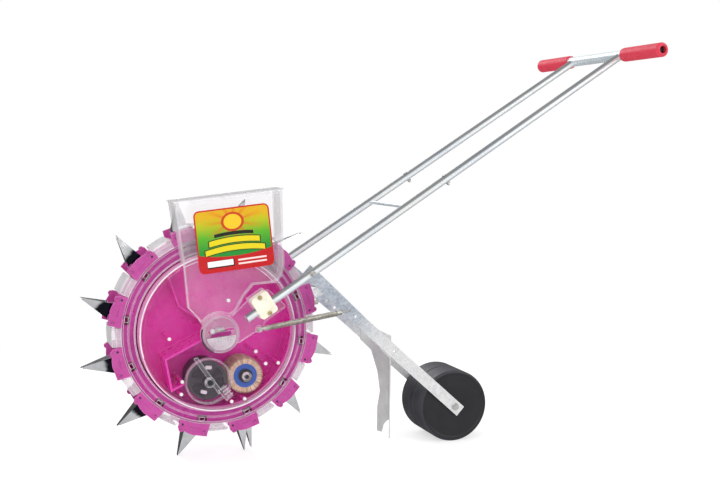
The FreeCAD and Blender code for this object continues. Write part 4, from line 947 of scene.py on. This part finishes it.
def make_pivot_bolts():
    """Hexagon heads outside, nuts with thread ends inside, where the legs hang on the tubes."""
    build = Build()
    for side in (-1, 1):
        out = (0, side, 0)
        inner, outer = (Vector((PIVOT.x, side * y * MM, PIVOT.z)) for y in (100.4, 125.0))
        build.turned([(-5, 4.0), (25.5, 4.0)], inner, out, 20)
        hex_bolt(build, outer, out, 8.3, 4.0)
        hex_bolt(build, inner, (0, -side, 0), 8.3, 4.4)
    made = build.piece("pivot_bolt_sets", "screw", "steel_fastener", "frame", sharp=30)
    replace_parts(made, "pivot_bolts")


# the ends of a handle tube's middle line and of the handlebar's, from the drum axis
TUBE_LOW, TUBE_HIGH, BAR_END = (46.5, 117.0, 31.4), (882.4, 101.6, 576.1), (882.4, 249.0, 576.1)


def make_tube_plugs_and_end_shade():
    """Dark plugs in the low ends of the handle tubes, and dark discs in the ends of the grips that are
    painted shade inside the open bar ends.
    """
    build = Build()
    for side in (-1, 1):
        start, high, grip = (at_drum(x, side * y, z) for x, y, z in (TUBE_LOW, TUBE_HIGH, BAR_END))
        way = high - start
        build.turned([(0.6, 0), (0.6, 4.0), (1.4, 6.3), (9.0, 6.3), (9.0, 0)], start, way, 24)
        # painted shade: a black disc inside each open grip end
        build.turned([(0.2, 0), (0.2, 7.7), (-0.2, 7.7), (-0.2, 0)], grip, (0, side, 0), 24)
    build.piece("tube_plugs_and_end_shade", "black", "black_plastic", "frame")


def make_seat_screws():
    """Two dark screws in each cheek of the beak seats."""
    build = Build()
    for angle in BEAK_ANGLES:
        for side in (-1, 1):
            for radius, sideways in ((197, -17), (203, 30)):
                spot = round_drum(radius, side * CHEEK, angle, sideways)
                screw_head(build, spot, (0, side, 0), 2.2, 0.9)
    build.piece("seat_screws", "black", "steel_fastener", "drum", sharp=50)


# ---- studio ---------------------------------------------------------------------------------------


CAMERA_PLACE = (-0.7963, -2.283, 0.6208)
CAMERA_ROLL = math.radians(0.636)
CAMERA_LENS, CAMERA_SENSOR = 57.1, 36.0  # millimetres


def make_camera():
    """The viewing angle: 19 degrees round from straight across, a little above the axle."""
    right = Vector((0.94394, -0.33013, 0.0))
    up = Vector((0.02535, 0.07249, 0.99706))
    back = Vector((-0.32916, -0.94115, 0.07679))
    across = right * math.cos(CAMERA_ROLL) + up * math.sin(CAMERA_ROLL)
    upward = up * math.cos(CAMERA_ROLL) - right * math.sin(CAMERA_ROLL)
    data = bpy.data.cameras.new("camera")
    data.lens = CAMERA_LENS
    data.sensor_width = CAMERA_SENSOR
    camera = bpy.data.objects.new("camera", data)
    turn = Matrix((across, upward, back)).transposed().to_4x4()
    camera.matrix_world = Matrix.Translation(CAMERA_PLACE) @ turn
    bpy.context.scene.collection.objects.link(camera)
    bpy.context.scene.camera = camera


def area_light(name, place, target, size, power):
    data = bpy.data.lights.new(name, "AREA")
    data.shape = "RECTANGLE"
    data.size, data.size_y = size
    data.energy = power
    light = bpy.data.objects.new(name, data)
    light.location = place
    light.rotation_euler = (Vector(target) - Vector(place)).to_track_quat("-Z", "Y").to_euler()
    bpy.context.scene.collection.objects.link(light)


def make_studio():
    world = bpy.data.worlds.new("studio")
    bpy.context.scene.world = world
    world.use_nodes = True
    tree = world.node_tree
    tree.nodes.clear()
    output = tree.nodes.new("ShaderNodeOutputWorld")
    seen, lit, mix = (tree.nodes.new(kind) for kind in
                      ("ShaderNodeBackground", "ShaderNodeBackground", "ShaderNodeMixShader"))
    seen.inputs[0].default_value = (1.0, 1.0, 1.0, 1.0)
    seen.inputs[1].default_value = 1.0
    path = tree.nodes.new("ShaderNodeLightPath")
    place = tree.nodes.new("ShaderNodeTexCoord")
    axes = tree.nodes.new("ShaderNodeSeparateXYZ")
    ahead = tree.nodes.new("ShaderNodeVectorMath")
    ahead.operation = "DOT_PRODUCT"
    ahead.inputs[1].default_value = (-0.33, -0.94, 0.0)
    tree.links.new(place.outputs["Generated"], axes.inputs[0])
    tree.links.new(place.outputs["Generated"], ahead.inputs[0])
    glows = []
    for value, stops in ((axes.outputs[2], ((0.18, 0.02), (0.55, 1.25))),
                         (ahead.outputs["Value"], ((-0.25, 0.11), (0.35, 0.85)))):
        share = tree.nodes.new("ShaderNodeMapRange")
        (from_low, to_low), (from_high, to_high) = stops
        for socket, number in zip(share.inputs[1:5], (from_low, from_high, to_low, to_high)):
            socket.default_value = number
        tree.links.new(value, share.inputs[0])
        glows.append(share.outputs[0])
    brighter = tree.nodes.new("ShaderNodeMath")
    brighter.operation = "MAXIMUM"
    for glow, socket in zip(glows, brighter.inputs):
        tree.links.new(glow, socket)
    tree.links.new(brighter.outputs[0], lit.inputs[0])
    lit.inputs[1].default_value = 0.75
    tree.links.new(path.outputs["Is Camera Ray"], mix.inputs[0])
    tree.links.new(lit.outputs[0], mix.inputs[1])
    tree.links.new(seen.outputs[0], mix.inputs[2])
    tree.links.new(mix.outputs[0], output.inputs[0])

    area_light("key", (-1.7, -2.3, 2.3), (-0.1, 0.0, 0.35), (1.6, 1.2), 26)
    area_light("fill", (1.9, -2.0, 1.1), (0.0, 0.0, 0.35), (1.4, 1.4), 10)
    area_light("front", (-0.3, -2.9, 0.7), (-0.1, 0.0, 0.35), (0.9, 0.9), 5)
    area_light("back", (-0.6, 2.2, 1.9), (-0.2, 0.0, 0.3), (1.8, 1.0), 16)

    half = 12.0
    mesh = bpy.data.meshes.new("floor")
    corners = [(-half, -half, 0), (half, -half, 0), (half, half, 0), (-half, half, 0)]
    mesh.from_pydata(corners, [], [(0, 1, 2, 3)])
    floor = bpy.data.objects.new("floor", mesh)
    mesh.materials.append(floor_finish())
    bpy.context.scene.collection.objects.link(floor)
    floor.visible_glossy = False
    bpy.context.scene.view_settings.view_transform = "Standard"


paint_frame()
make_studio()
make_camera()
make_springs()
make_flap_springs()
make_bristles()
make_roller_face()
make_screws()
make_pivot_bolts()
make_tube_plugs_and_end_shade()
make_seat_screws()
make_hub_details()
make_cover_rim_highlight()
make_seat_bosses()
